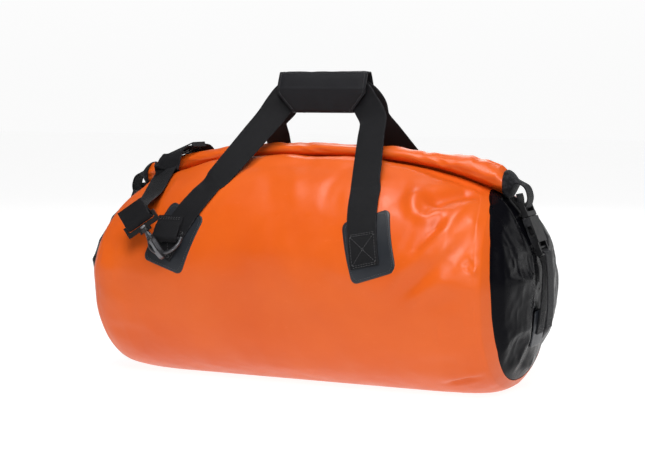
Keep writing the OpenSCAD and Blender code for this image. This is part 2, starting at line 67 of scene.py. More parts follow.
# ---- shapes of the bag, in mm
HALF_LEN, BODY_W, MID_Z = 281.0, 292.0, 136.0
END_ROUND, LOW_ROUND, LOW_RZ = 10, 2.2, 142     # curve of the ends, and of the lower half with its height
TOP_LEAN, LEAN_X = 0.07, 275                    # how far the top of the ends leans in, and where
MOUTH_Z, CROWN_SAG, SAG_X = 288, 38, 240        # top line of the tube, and its drop at SAG_X
SEAM_X, POLE_X, CAP_Z, CAP_POW = 266.0, 298.0, 130.0, 2.6
SEAM_STEP = 40                                  # length of tube that one ring fraction over 1 stands for
WALL, FLOOR_GAP = 1.6, 0.15
LIP_GAP, LIP_END, LIP_T = 12.0, 1.5, 1.4        # half opening of the mouth, at the middle and at its ends
ROLL_LEN, ROLL_RY, ROLL_RZ, ROLL_FLARE, ROLL_TURNS, ROLL_GAP = 258.0, 19, 9, 6.5, 2.25, 0.6
WEB_W, WEB_T, STRAP_W = 38.0, 2.0, 25.0
HINGE_Z, LEAVE_Z, WEB_LIFT = 214, 250, 3.4      # a handle leg's hinge, where it leaves the skin, its lift
LEG_TOP_Y, LEG_TOP_Z = -20, 338
GRIP_X, GRIP_Z, GRIP_HALF = 4.0, 373.0, 63.0
TURN = np.array([-1.0, -1.0, 1.0])              # half turn about the upright middle line


def unit(v):
    v = np.asarray(v, float)
    return v/np.maximum(np.linalg.norm(v, axis=-1, keepdims=True), 1e-12)


def smooth(t):
    t = np.clip(t, 0, 1)
    return t*t*(3 - 2*t)


def bell(x, middle, width):
    return np.exp(-((x - middle)/width)**2)


def held(d, most, share):
    """d, kept below most where share is 1."""
    return d*(1 - share) + np.minimum(d, most)*share


def facing(n, way):
    """Normals turned so that on the whole they point the given way."""
    return n if np.mean(np.sum(n*way, -1)) > 0 else -n


def cos_sin(degrees):
    return math.cos(math.radians(degrees)), math.sin(math.radians(degrees))


def ek(x):
    """Share of the full width that is left at station x."""
    return np.maximum(1e-4, 1 - (np.abs(x)/HALF_LEN)**END_ROUND)**(1/END_ROUND)


def crown(x):
    return MOUTH_Z - CROWN_SAG*(np.abs(x)/SAG_X)**2.6


def skin(x, a):
    """The tube at station x and angle a in radians."""
    c, s = np.cos(a), np.sin(a)
    v, k = np.maximum(s, 0), ek(x)
    fat = (np.abs(c)**LOW_ROUND + np.abs(s)**LOW_ROUND)**(-1/LOW_ROUND)
    r = np.where(s < 0, fat, 1)
    xs = x*(1 - TOP_LEAN*v**1.8*(np.abs(x)/LEAN_X)**4)
    low = np.maximum(0, MID_Z + k*LOW_RZ*r*s)
    high = MID_Z + (crown(xs) - MID_Z)*v
    return np.stack([xs, -BODY_W/2*k*r*c, np.where(s < 0, low, high)], -1)


def fy(x, z):
    """Half width of the tube at station x and height z."""
    up = np.sqrt(np.maximum(1e-4, 1 - ((z - MID_Z)/(crown(x) - MID_Z))**2))
    down = np.maximum(1e-4, 1 - (np.maximum(MID_Z - z, 0)/(ek(x)*LOW_RZ))**LOW_ROUND)**(1/LOW_ROUND)
    return BODY_W/2*ek(x)*np.where(z > MID_Z, up, down)


def off_skin(x, z, o):
    """Points o mm off the front face."""
    x, z = np.broadcast_arrays(np.asarray(x, float), np.asarray(z, float))
    gx, gz = (fy(x + 1, z) - fy(x - 1, z))/2, (fy(x, z + 1) - fy(x, z - 1))/2
    n = unit(np.stack([-gx, -np.ones_like(gx), -gz], -1))
    return np.stack([x, -fy(x, z), z], -1) + np.asarray(o)[..., None]*n


CAP_LEAN = 0.0609       # TOP_LEAN at the last station


def cap_x(y, z):
    """Station of the right end's face at a place on it."""
    top = crown(SEAM_X*(1 - TOP_LEAN)) - CAP_Z
    high = z > CAP_Z
    s = np.hypot(y/(BODY_W/2*ek(SEAM_X)), (z - CAP_Z)/np.where(high, top, CAP_Z))
    return POLE_X - (POLE_X - SEAM_X*(1 - np.where(high, CAP_LEAN, 0)))*s**CAP_POW


SEAM_SINES = (-1, -0.6, -0.1, 0.4, 0.6, 0.83, 0.91, 0.98, 1)
SEAM_STATIONS = (272, 275, 274, 272, 271, 267, 263, 252, 246)


def seam(a):
    """Station of the colour seam at an angle of the tube: it leans in towards the roll."""
    return np.interp(np.sin(a), SEAM_SINES, SEAM_STATIONS)


def end_ring(s, a):
    """The right end by ring fraction: 0 at the pole, 1 at the tube's last station, more further back."""
    x, y, z = np.moveaxis(skin(np.full_like(a, SEAM_X), a), -1, 0)
    r = np.clip(s, 0, 1)
    cap = np.stack([POLE_X - (POLE_X - x)*r**CAP_POW, y*r, CAP_Z + (z - CAP_Z)*r], -1)
    return np.where((s > 1)[..., None], skin(SEAM_X - (np.maximum(s, 1) - 1)*SEAM_STEP, a), cap)


def fraction(q):
    """Ring fraction of station q."""
    capped = (np.maximum(POLE_X - q, 0)/(POLE_X - SEAM_X))**(1/CAP_POW)
    return np.where(q > SEAM_X, capped, 1 + (SEAM_X - q)/SEAM_STEP)


def cr(p, n):
    """Catmull-Rom through the rows of p, n samples a span."""
    p = np.asarray(p, float)
    q = np.vstack([p[:1], p, p[-1:]])
    out = []
    for i in range(len(p) - 1):
        a, b, c, d = q[i:i + 4]
        for k in range(n):
            t = k/n
            out.append(0.5*(2*b + (c - a)*t + (2*a - 5*b + 4*c - d)*t*t + (3*b - a - 3*c + d)*t**3))
    return np.array(out + [p[-1]])


# ---- noise
def lattice(i, j, k, seed):
    n = np.sin(i*127.1 + j*311.7 + k*74.7 + seed*53.3)*4375.85453
    return (n - np.floor(n))*2 - 1


def vnoise(p, scale, seed=0):
    """Smooth value noise from -1 to 1; scale in mm."""
    q = np.asarray(p, float)/scale + 100
    f = np.floor(q)
    t = q - f
    t = t*t*t*(t*(t*6 - 15) + 10)
    total = 0
    for i in (0, 1):
        for j in (0, 1):
            for k in (0, 1):
                w = ((t[..., 0] if i else 1 - t[..., 0])*(t[..., 1] if j else 1 - t[..., 1])
                     * (t[..., 2] if k else 1 - t[..., 2]))
                total = total + w*lattice(f[..., 0] + i, f[..., 1] + j, f[..., 2] + k, seed)
    return total


def ridged(p, scale, seed=0):
    """Noise with narrow crests."""
    return 1 - 2*np.abs(vnoise(p, scale, seed)) - 0.3


def to_line(p, pts):
    """Distance of points p to a polyline, and the share of its length at the nearest place."""
    pts = np.asarray(pts, float)
    seg = np.linalg.norm(np.diff(pts, axis=0), axis=1)
    start = np.concatenate([[0], np.cumsum(seg)])
    best, share = np.full(p.shape[:-1], 1e9), np.zeros(p.shape[:-1])
    for i in range(len(pts) - 1):
        d = pts[i + 1] - pts[i]
        t = np.clip(((p - pts[i]) @ d)/(d @ d), 0, 1)
        dist = np.linalg.norm(p - (pts[i] + t[..., None]*d), axis=-1)
        near = dist < best
        best = np.where(near, dist, best)
        share = np.where(near, (start[i] + t*seg[i])/start[-1], share)
    return best, share


def fold(p, pts, width, height, taper):
    """A rounded ridge, or a valley where height is below 0, that dies out at both ends."""
    d, t = to_line(p, pts)
    return height*bell(d, 0, width)*(0.15 + 0.85*smooth(np.minimum(t, 1 - t)*2/taper))


# ---- mesh building
def make(name, co, faces, uv=None):
    """A mesh piece from points in mm; uv holds one pair in mm for each point."""
    me = bpy.data.meshes.new(name)
    me.from_pydata((np.asarray(co)/1000).tolist(), [], [list(map(int, f)) for f in faces])
    me.validate()
    if uv is not None:
        layer = me.uv_layers.new(name="UVMap")
        index = np.empty(len(me.loops), int)
        me.loops.foreach_get("vertex_index", index)
        layer.data.foreach_set("uv", np.asarray(uv, float)[index].astype(np.float32).ravel())
    me.polygons.foreach_set("use_smooth", [True]*len(me.polygons))
    ob = bpy.data.objects.new(name, me)
    bpy.context.scene.collection.objects.link(ob)
    return ob


def recalc(ob):
    bm = bmesh.new()
    bm.from_mesh(ob.data)
    bmesh.ops.recalc_face_normals(bm, faces=bm.faces)
    bm.to_mesh(ob.data)
    bm.free()
    return ob


def normals(grid, wrap=False):
    du = np.gradient(grid, axis=0)
    dv = (np.roll(grid, -1, 1) - np.roll(grid, 1, 1))/2 if wrap else np.gradient(grid, axis=1)
    return unit(np.cross(du, dv))


def shell(name, outer, inner, uv, wrap=False):
    """A closed shell between two equal grids of points."""
    m, n = outer.shape[:2]
    co = np.concatenate([outer.reshape(-1, 3), inner.reshape(-1, 3)])
    half = m*n
    row = [(j, (j + 1) % n) for j in range(n if wrap else n - 1)]
    faces = []
    for i in range(0, half - n, n):
        for j, k in row:
            a, b, c, d = i + j, i + n + j, i + n + k, i + k
            faces += [(a, b, c, d), (d + half, c + half, b + half, a + half)]
    rims = row + [(k + half - n, j + half - n) for j, k in row]
    if not wrap:
        col = [(i, i + n) for i in range(0, half - n, n)]
        rims += [(b, a) for a, b in col] + [(a + n - 1, b + n - 1) for a, b in col]
    faces += [(a, b, b + half, a + half) for a, b in rims]
    two = np.asarray(uv, float).reshape(-1, 2)
    return recalc(make(name, co, faces, np.concatenate([two, two])))


def sharp(ob, angle=50):
    ob.data.set_sharp_from_angle(angle=math.radians(angle))
    return ob


def strip_frames(path, n):
    """Centre, width direction, face direction and length along a webbing path of x, y, z, ux, uy, uz."""
    p = cr(path, n)
    c, u0 = p[:, :3], p[:, 3:]
    d = np.empty_like(c)
    d[1:-1] = c[2:] - c[:-2]
    d[0], d[-1] = c[1] - c[0], c[-1] - c[-2]
    d = unit(d)
    u = unit(u0 - d*np.sum(u0*d, -1, keepdims=True))
    along = np.concatenate([[0], np.cumsum(np.linalg.norm(np.diff(c, axis=0), axis=1))])
    return c, u, np.cross(d, u), along


def strip(name, path, w, t, n, turn=False):
    """Webbing with soft edges along a path."""
    c, u, f, along = strip_frames(path, n)
    h, e = w/2, t/2
    half = [(-1, 0), (-0.985, 0.55), (-0.95, 0.92), (-0.86, 1.0), (-0.45, 0.96), (0, 0.98), (0.45, 0.96),
            (0.86, 1.0), (0.95, 0.92), (0.985, 0.55), (1, 0)]
    section = half + [(a, -b) for a, b in half[-2:0:-1]]
    rows, uvs = [], []
    for i in range(len(c)):
        rows.append([c[i] + u[i]*a*h + f[i]*(b*e) for a, b in section])
        uvs.append([(a*h, along[i]) for a, b in section])
    co = np.array(rows)*(TURN if turn else 1)
    m, q = len(c), len(section)
    faces = [(i*q + j, (i + 1)*q + j, (i + 1)*q + (j + 1) % q, i*q + (j + 1) % q)
             for i in range(m - 1) for j in range(q)]
    faces += [tuple(range(q)), tuple(range(m*q - 1, m*q - q - 1, -1))]
    ob = make(name, co.reshape(-1, 3), faces, np.array(uvs).reshape(-1, 2))
    return sharp(recalc(ob), 75)


def threads(name, runs, pitch=3.4, length=2.5, radius=0.34):
    """Lock stitches along runs of points with normals: short bent threads that dip in at both ends."""
    co, faces, uv = [], [], []
    for pts, nor in runs:
        pts, nor = np.asarray(pts, float), unit(nor)
        step = np.linalg.norm(np.diff(pts, axis=0), axis=1)
        s = np.concatenate([[0], np.cumsum(step)])
        count = max(1, int(s[-1]/pitch))
        gap = s[-1]/count
        for k in range(count):
            mid = (k + 0.5)*gap
            line = [mid - length/2, mid - length/4, mid, mid + length/4, mid + length/2]
            lift = [-0.32, 0.14, 0.28, 0.14, -0.32]
            at = np.array([[np.interp(x, s, pts[:, i]) for i in range(3)] for x in line])
            nn = unit(np.array([[np.interp(x, s, nor[:, i]) for i in range(3)] for x in line]))
            d = unit(at[-1] - at[0])
            base = len(co)
            for i in range(5):
                side = np.cross(d, nn[i])
                r = radius*(0.55 if i in (0, 4) else 1)
                for j in range(6):
                    a = j*math.pi/3
                    co.append(at[i] + nn[i]*(lift[i] + r*math.sin(a)*0.85) + side*r*math.cos(a))
                    uv.append((j/6, line[i]))
            for i in range(base, base + 24, 6):
                faces += [(i + j, i + (j + 1) % 6, i + 6 + (j + 1) % 6, i + 6 + j) for j in range(6)]
            faces += [tuple(base + j for j in range(5, -1, -1)), tuple(base + 24 + j for j in range(6))]
    return recalc(make(name, co, faces, uv))


# ---- materials
class Tree:
    """A node tree, with short names for the nodes used here."""

    def __init__(self, owner):
        owner.use_nodes = True
        self.t = owner.node_tree
        self.t.nodes.clear()

    def node(self, kind, **traits):
        n = self.t.nodes.new("ShaderNode" + kind)
        for k, v in traits.items():
            setattr(n, k, v)
        return n

    def link(self, a, b):
        self.t.links.new(a, b)

    def put(self, value, socket):
        if hasattr(value, "is_linked"):
            self.link(value, socket)
        else:
            socket.default_value = value

    def math(self, op, a, b=0.0):
        n = self.node("Math", operation=op)
        self.put(a, n.inputs[0])
        self.put(b, n.inputs[1])
        return n.outputs[0]

    def times(self, a, b):
        return self.math("MULTIPLY", a, b)

    def ripple(self, a):
        return self.math("ABSOLUTE", self.math("SINE", a))

    def ramp(self, value, *stops, how="LINEAR"):
        n = self.node("MapRange", interpolation_type=how)
        self.link(value, n.inputs[0])
        for i, s in enumerate(stops):
            n.inputs[i + 1].default_value = s
        return n.outputs[0]

    def xyz(self, vec):
        n = self.node("SeparateXYZ")
        self.link(vec, n.inputs[0])
        return n.outputs


class Mat(Tree):
    """A material's nodes round one principled shader."""

    def __init__(self, name):
        self.m = bpy.data.materials.new(name)
        super().__init__(self.m)
        out = self.node("OutputMaterial")
        self.b = self.node("BsdfPrincipled")
        self.link(self.b.outputs[0], out.inputs[0])
        coord = self.node("TexCoord")
        self.obj, self.uvw = coord.outputs["Object"], coord.outputs["UV"]

    def set(self, **values):
        for k, v in values.items():
            self.put(v, self.b.inputs[k.replace("_", " ")])

    def noise(self, vec, scale, detail=3.0, rough=0.55, kind="FBM"):
        n = self.node("TexNoise", noise_type=kind)
        for k, v in (("Vector", vec), ("Scale", scale), ("Detail", detail), ("Roughness", rough)):
            self.put(v, n.inputs[k])
        return n.outputs[0]

    def mix(self, fac, a, b):
        n = self.node("Mix", data_type="RGBA")
        self.put(fac, n.inputs[0])
        for v, s in ((a, n.inputs[6]), (b, n.inputs[7])):
            self.put((*v, 1) if isinstance(v, tuple) else v, s)
        return n.outputs[2]

    def stretch(self, vec, x, y, z):
        n = self.node("VectorMath", operation="MULTIPLY")
        self.link(vec, n.inputs[0])
        n.inputs[1].default_value = (x, y, z)
        return n.outputs[0]

    def relief(self, *layers):
        """Bump from layers of height, distance and strength, the broadest first."""
        below = None
        for height, distance, strength in layers:
            n = self.node("Bump")
            for k, v in (("Strength", strength), ("Distance", distance), ("Height", height)):
                self.put(v, n.inputs[k])
            if below is not None:
                self.link(below, n.inputs["Normal"])
            below = n.outputs[0]
        self.set(Normal=below)


def weave(m, pitch_u, pitch_v):
    """A plain weave over UVs in mm: 0 in the gaps to 1 on the yarns."""
    u, v, _ = m.xyz(m.uvw)
    a = m.ripple(m.times(u, math.pi/pitch_u))
    col = m.math("MODULO", m.math("ABSOLUTE", m.math("FLOOR", m.math("DIVIDE", u, pitch_u))), 2.0)
    b = m.ripple(m.math("ADD", m.times(v, math.pi/pitch_v), m.times(col, math.pi/2)))
    return m.math("ADD", m.times(a, 0.45), m.times(b, 0.55))


def tarp(name, deep, light, rough, coat, scrim, crinkle, grain_tint, gloss=0.42):
    """Coated fabric: a soft plastic film over a scrim whose squares show through, with painted shade in the
    scrim's gaps.
    """
    m = Mat(name)
    broad = m.noise(m.obj, 7, 3)
    cloud = m.noise(m.obj, 42, 4)
    scuff = m.noise(m.stretch(m.obj, 1, 1, 3.2), 85, 6, 0.7)
    base = m.mix(m.ramp(broad, 0.3, 0.7, 0, 1), deep, light)
    base = m.mix(m.ramp(scuff, 0.60, 0.80, 0, 0.16), base, grain_tint)
    base = m.mix(m.ramp(cloud, 0.35, 0.75, 0, 0.10), base, deep)
    yarn = weave(m, 1.15, 1.15)
    # painted shade: the colour is darkened a little in the gaps of the scrim's weave
    base = m.mix(m.ramp(yarn, 0.15, 0.55, 0.10, 0), base, tuple(0.72*c for c in deep))
    m.set(Base_Color=base)
    r = m.ramp(cloud, 0.3, 0.7, rough - 0.05, rough + 0.06)
    r = m.math("ADD", r, m.ramp(scuff, 0.58, 0.8, 0, 0.12))
    m.set(Roughness=r, Coat_Weight=coat, Coat_Roughness=0.28, IOR=1.46, Specular_IOR_Level=gloss)
    m.relief((m.noise(m.obj, 55, 4, 0.55, "RIDGED_MULTIFRACTAL"), crinkle, 0.5), (yarn, scrim, 0.5),
             (m.noise(m.obj, 1500, 2), 0.00003, 0.4))
    return m.m


def webbing_mat(name, deep, light, pitch_u, pitch_v, depth, half_w, rough=0.62):
    """Woven webbing with fuzz, worn along its edges half_w from the middle; painted shade darkens the weave's
    gaps against lighter yarn crests.
    """
    m = Mat(name)
    yarn = weave(m, pitch_u, pitch_v)
    broad = m.noise(m.obj, 30, 4)
    fuzz = m.noise(m.obj, 2600, 3)
    u, _, _ = m.xyz(m.uvw)
    worn = m.ramp(m.math("ABSOLUTE", u), half_w*0.90, half_w, 0, 0.55)
    worn = m.times(worn, m.ramp(m.noise(m.obj, 240, 4), 0.42, 0.62, 0, 1))
    # painted shade and light: deep colour in the weave's gaps, light colour on the yarns' crests
    base = m.mix(m.ramp(yarn, 0.25, 0.85, 0, 1), deep, light)
    base = m.mix(m.ramp(broad, 0.35, 0.72, 0, 0.35), base, deep)
    base = m.mix(worn, base, tuple(min(1, c*3.2 + 0.012) for c in light))
    base = m.mix(m.ramp(fuzz, 0.55, 0.8, 0, 0.35), base, tuple(c*1.9 for c in light))
    m.set(Base_Color=base)
    m.set(Roughness=m.ramp(yarn, 0.2, 0.9, rough + 0.16, rough - 0.10), Sheen_Weight=0.06,
          Sheen_Roughness=0.45, Specular_IOR_Level=0.15)
    m.b.inputs["Sheen Tint"].default_value = (0.55, 0.56, 0.60, 1)
    m.relief((broad, 0.0012, 0.25), (yarn, depth, 0.9), (fuzz, 0.00005, 0.5))
    return m.m


def plastic(name, deep, worn, rough):
    """Moulded plastic with a fine spark texture, flow marks and rubbed edges."""
    m = Mat(name)
    geo = m.t.nodes.new("ShaderNodeNewGeometry")
    mottled = m.noise(m.obj, 130, 4)
    spark = m.noise(m.obj, 2200, 2)
    scratch = m.noise(m.stretch(m.obj, 1, 1, 9), 420, 5, 0.65)
    edge = m.ramp(geo.outputs["Pointiness"], 0.515, 0.60, 0, 1)
    edge = m.times(edge, m.ramp(mottled, 0.35, 0.6, 0.25, 1))
    base = m.mix(m.ramp(mottled, 0.35, 0.7, 0, 0.5), deep, tuple(c*1.5 for c in deep))
    base = m.mix(m.times(edge, 0.6), base, worn)
    base = m.mix(m.ramp(scratch, 0.66, 0.8, 0, 0.5), base, worn)
    m.set(Base_Color=base, Specular_IOR_Level=0.22)
    r = m.ramp(mottled, 0.3, 0.7, rough - 0.05, rough + 0.07)
    m.set(Roughness=m.math("ADD", r, m.times(edge, 0.08)))
    m.relief((mottled, 0.0002, 0.2), (spark, 0.00004, 0.45))
    return m.m


def metal(name, deep, light, rough, metallic, scratch_to):
    """Drawn wire, its coating rubbed off along edges."""
    m = Mat(name)
    geo = m.t.nodes.new("ShaderNodeNewGeometry")
    mottled = m.noise(m.obj, 160, 4)
    drawn = m.noise(m.stretch(m.obj, 14, 1, 1), 260, 5, 0.7)
    edge = m.ramp(geo.outputs["Pointiness"], 0.52, 0.62, 0, 0.7)
    base = m.mix(m.ramp(mottled, 0.3, 0.7, 0, 1), deep, light)
    base = m.mix(m.math("MAXIMUM", edge, m.ramp(drawn, 0.62, 0.75, 0, 0.6)), base, scratch_to)
    m.set(Base_Color=base, Metallic=metallic)
    m.set(Roughness=m.ramp(mottled, 0.3, 0.7, rough - 0.06, rough + 0.10))
    m.relief((drawn, 0.00005, 0.35))
    return m.m


def fuzzy(name, deep, light, scale):
    """Hook-and-loop tape: rows of little hooks or a mat of loops, with painted shade between them and lighter
    tops.
    """
    m = Mat(name)
    u = m.noise(m.obj, scale, 3, 0.7)
    x, y, _ = m.xyz(m.obj)
    rows, cols = m.ripple(m.times(x, math.pi/0.0013)), m.ripple(m.times(y, math.pi/0.0012))
    h = m.times(m.times(rows, cols), m.ramp(u, 0.3, 0.6, 0.4, 1))
    # painted shade between the hooks or loops, lighter colour on their tops
    base = m.mix(h, deep, light)
    m.set(Base_Color=base, Roughness=m.ramp(u, 0.3, 0.7, 0.75, 0.95), Sheen_Weight=0.5, Sheen_Roughness=0.5)
    m.relief((h, 0.0005, 0.9))
    return m.m


ORANGE = tarp("coated_orange", (0.66, 0.092, 0.006), (0.73, 0.118, 0.010), 0.38, 0.06, 0.00004, 0.0007,
              (0.93, 0.26, 0.10), 0.34)
BLACK_TARP = tarp("coated_black", (0.002, 0.002, 0.003), (0.004, 0.004, 0.0055), 0.27, 0.02, 0.00004,
                  0.0014, (0.02, 0.02, 0.024), 0.05)
SLATE = tarp("coated_slate", (0.014, 0.016, 0.020), (0.022, 0.025, 0.031), 0.40, 0.05, 0.00005, 0.0005,
             (0.09, 0.10, 0.115), 0.35)
SIDES = (("right", False), ("left", True))
# deep colour: painted shade in the weave's gaps and the darker random tone; light colour: yarn crests, and
# base of worn edges and fuzz
YARN_GAP_SHADE_AND_CREST = (0.0022, 0.0022, 0.0028), (0.0075, 0.0075, 0.009)
WEB = webbing_mat("webbing_wide", *YARN_GAP_SHADE_AND_CREST, 1.35, 0.95, 0.00034, WEB_W/2)
WEB_NARROW = webbing_mat("webbing_narrow", *YARN_GAP_SHADE_AND_CREST, 1.2, 0.85, 0.00030, STRAP_W/2)
NO_EDGE = 400           # wider than the piece, so that its edges don't wear
# its deep colour is painted shade in the weave's gaps, its light colour the yarn crests
GRIP_CLOTH = webbing_mat("grip_cloth", (0.005, 0.005, 0.006), (0.013, 0.013, 0.0155), 0.75, 0.75, 0.00016,
                         NO_EDGE, 0.60)
PLASTIC = plastic("moulded_black", (0.004, 0.004, 0.0045), (0.04, 0.04, 0.044), 0.34)
STIFF = plastic("strip_plastic", (0.045, 0.045, 0.05), (0.14, 0.14, 0.15), 0.5)
WIRE = metal("coated_wire", (0.055, 0.055, 0.06), (0.11, 0.11, 0.118), 0.34, 0.75, (0.42, 0.42, 0.44))
STEEL = metal("pin_steel", (0.50, 0.50, 0.51), (0.62, 0.62, 0.63), 0.28, 1.0, (0.8, 0.8, 0.8))
# first colour of each: painted shade between the hooks or loops; second: their lighter tops
HOOKS = fuzzy("hook_tape", (0.008, 0.008, 0.009), (0.035, 0.035, 0.038), 900)
LOOPS = fuzzy("loop_tape", (0.010, 0.010, 0.011), (0.030, 0.030, 0.034), 1700)


def thread_mat():
    m = Mat("sewing_thread")
    u, v, _ = m.xyz(m.uvw)
    ply = m.ripple(m.math("ADD", m.times(v, 7.5), m.times(u, 2*math.pi)))
    # painted shade in the grooves between the twisted plies, lighter on their crests
    base = m.mix(m.ramp(ply, 0.1, 0.9, 0, 1), (0.012, 0.012, 0.014), (0.045, 0.045, 0.05))
    m.set(Base_Color=base, Roughness=m.ramp(m.noise(m.obj, 700), 0.3, 0.7, 0.42, 0.6), Sheen_Weight=0.3)
    m.relief((ply, 0.00015, 0.8))
    return m.m


THREAD = thread_mat()


def paint(ob, material):
    ob.data.materials.clear()
    ob.data.materials.append(material)


def dress(ob, material, body, slot, *replaced):
    paint(ob, material)
    if body is not None:
        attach(ob, body)
    if replaced:
        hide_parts(*replaced)
    return ob


def sew(name, runs, body, turned=False, slot="webbing", sizes=()):
    k = TURN if turned else 1
    dress(threads(name, [(p*k, n*k) for p, n in runs], *sizes), THREAD, body, slot)


def web(name, path, w, t, n, turned, material, body, *replaced):
    """A dressed length of webbing, and the frames along it for its stitches."""
    ob = dress(strip(name, path, w, t, n, turned), material, body, "webbing", *replaced)
    return ob, strip_frames(path, n)


# ---- the tube of the body
PATCHES = ((-147.0, 186.0, -18.0), (124.5, 186.0, 18.0))     # centre x and z, lean in degrees
LEGS = ((-136.0, -29.0), (111.0, 14.0))                      # x at the hinge, lean in degrees


def lip(x):
    """Half opening of the mouth at station x."""
    return LIP_END + (LIP_GAP - LIP_END)*(1 - (np.abs(x)/SEAM_X)**6)


def beside(x, z, cx, cz, lean, hw, hh):
    """How far outside a leaning rectangle a place on the front is."""
    c, s = cos_sin(lean)
    u, v = (x - cx)*c + (z - cz)*s, -(x - cx)*s + (z - cz)*c
    return np.hypot(np.maximum(np.abs(u) - hw, 0), np.maximum(np.abs(v) - hh, 0))


def calm(p):
    """0 where a patch or a leg of a handle lies on the front or on the back, 1 away from them."""
    out = np.ones(p.shape[:-1])
    for turned in (False, True):
        q = p*(TURN if turned else 1)
        side = q[..., 1] < 0
        for cx, cz, lean in PATCHES:
            d = beside(q[..., 0], q[..., 2], cx, cz, -lean if cx > 0 else lean, 31, 39)
            out = np.where(side, np.minimum(out, smooth((d - 1)/20)), out)
        for foot, lean in LEGS:
            cx = foot - 22*math.tan(math.radians(lean))
            d = beside(q[..., 0], q[..., 2], cx, 236, lean, 21, 30)
            out = np.where(side, np.minimum(out, 0.15 + 0.85*smooth((d - 1)/16)), out)
    return out


# Folds of the front, each with its line, width, height and the share of it that tapers. Right end first.
FOLDS = [
    ([(230, -38, 251), (212, -58, 250), (194, -80, 243), (184, -96, 234)], 14, -9.5, 0.45),
    ([(168, -70, 256), (164, -92, 244), (172, -112, 226), (190, -112, 222), (214, -88, 232)], 10, 5.2, 0.45),
    ([(168, -145, 158), (190, -137, 182), (212, -118, 206), (230, -64, 243)], 9, 4.8, 0.7),
    ([(176, -142, 172), (196, -130, 196), (214, -104, 222)], 8, -5.0, 0.6),
    ([(196, -143, 156), (222, -130, 186), (243, -98, 214)], 10, 3.4, 0.8),
    ([(150, -147, 136), (172, -143, 160), (206, -128, 190), (238, -96, 218)], 13, 4.2, 0.6),
    ([(158, -147, 122), (190, -143, 148), (224, -128, 178), (248, -104, 204)], 9, -4.2, 0.6),
    ([(176, -147, 112), (208, -141, 142), (238, -126, 172)], 11, 3.6, 0.7),
    ([(212, -143, 148), (236, -134, 170), (254, -112, 198)], 9, -3.2, 0.8),
    ([(256, -134, 160), (262, -131, 170)], 5, 2.2, 0.3),
    ([(246, -136, 166), (255, -132, 175)], 5, -1.8, 0.3),
    ([(188, -144, 118), (226, -141, 128), (258, -133, 134)], 11, -1.8, 0.8),
    ([(205, -84, 14), (238, -92, 26), (262, -92, 40)], 4.5, -5.0, 0.6),
    ([(200, -100, 14), (238, -108, 24), (264, -104, 44)], 9, 2.4, 0.6),
    ([(150, -118, 34), (200, -122, 42), (258, -116, 58)], 12, -1.4, 0.8),
    ([(-236, -60, 238), (-214, -86, 236), (-196, -108, 224)], 9, -3.2, 0.6),
    ([(-246, -70, 224), (-226, -102, 216), (-210, -120, 204)], 9, 2.6, 0.6),
    ([(-262, -96, 190), (-240, -126, 168), (-216, -142, 140)], 12, -2.4, 0.8),
    ([(-262, -110, 120), (-236, -140, 108), (-200, -146, 96)], 12, 2.2, 0.8),
    ([(-258, -112, 70), (-226, -132, 62), (-180, -134, 60)], 11, -2.2, 0.8),
    ([(-90, -146, 120), (-40, -145, 104), (30, -144, 100)], 20, -1.6, 0.9),
    ([(-60, -60, 274), (-30, -84, 252), (-16, -112, 222)], 10, -2.4, 0.9),
    ([(-20, -50, 280), (4, -84, 256), (20, -120, 216)], 11, 2.2, 0.9),
    ([(60, -56, 276), (52, -86, 252), (58, -118, 216)], 9, -2.2, 0.9),
    ([(140, -52, 270), (146, -80, 250), (152, -104, 226)], 9, -2.2, 0.8),
    ([(-70, -134, 186), (-20, -140, 170), (60, -138, 176)], 22, 1.8, 0.9),
]


def body_dent(p):
    """How far the coated tube stands off its plain shape, mm."""
    x, y, z = p[..., 0], p[..., 1], p[..., 2]
    d = 1.7*vnoise(p, 120, 1) + 1.1*vnoise(p, 52, 2) + 0.35*vnoise(p, 24, 3)
    busy = smooth(vnoise(p, 90, 7)*0.9 + 0.35 + 0.6*smooth((np.abs(x) - 150)/90))
    d = d + busy*(0.75*ridged(p, 40, 4) + 0.22*ridged(p, 17, 5))
    for pts, width, height, taper in FOLDS:
        d = d + fold(p, pts, width, height, taper)
    for i, (pts, width, height, taper) in enumerate(FOLDS):
        shifted = np.array(pts) + ((-1)**i*7, 0, (i % 3 - 1)*6)
        d = d + fold(p*TURN, shifted, width*1.1, height*0.75, taper)
    high = smooth((z - 175)/75)
    pulls = np.sin(x/13 + 2.4*vnoise(p*(0.4, 1, 1), 60, 8))*vnoise(p*(1, 0.3, 0.3), 45, 9)
    d = d + 1.2*high*pulls
    near_end = np.exp(-(SEAM_X - np.abs(x))/16)
    d = d + 0.9*near_end*np.sin(z/8.5 + y/15 + 3*vnoise(p, 40, 6))
    d = d*calm(p)
    d = d - 2.8*bell(np.abs(y), 29, 9)*smooth((z - 200)/30)
    d = held(d, -0.2, smooth((34 - np.abs(y))/10)*smooth((z - 200)/20))
    d = held(d, -0.3, smooth((36 - np.abs(x + 193))/12)*smooth((y - 40)/15)*smooth((z - 90)/30))
    return d*smooth(z/16)


def crowded(n, k):
    """n shares from -1 to 1, closer together towards the ends as k nears 1."""
    return np.sin(np.pi/2*np.linspace(-1, 1, n)*k)/math.sin(np.pi/2*k)


RISE_X = (-250, -236, -205, -150, 0, 80, 130, 175)
RISE = (0, 6.5, 5, 8, 7, 6, 3.5, 0)     # how far the front lip stands up before the roll, at RISE_X


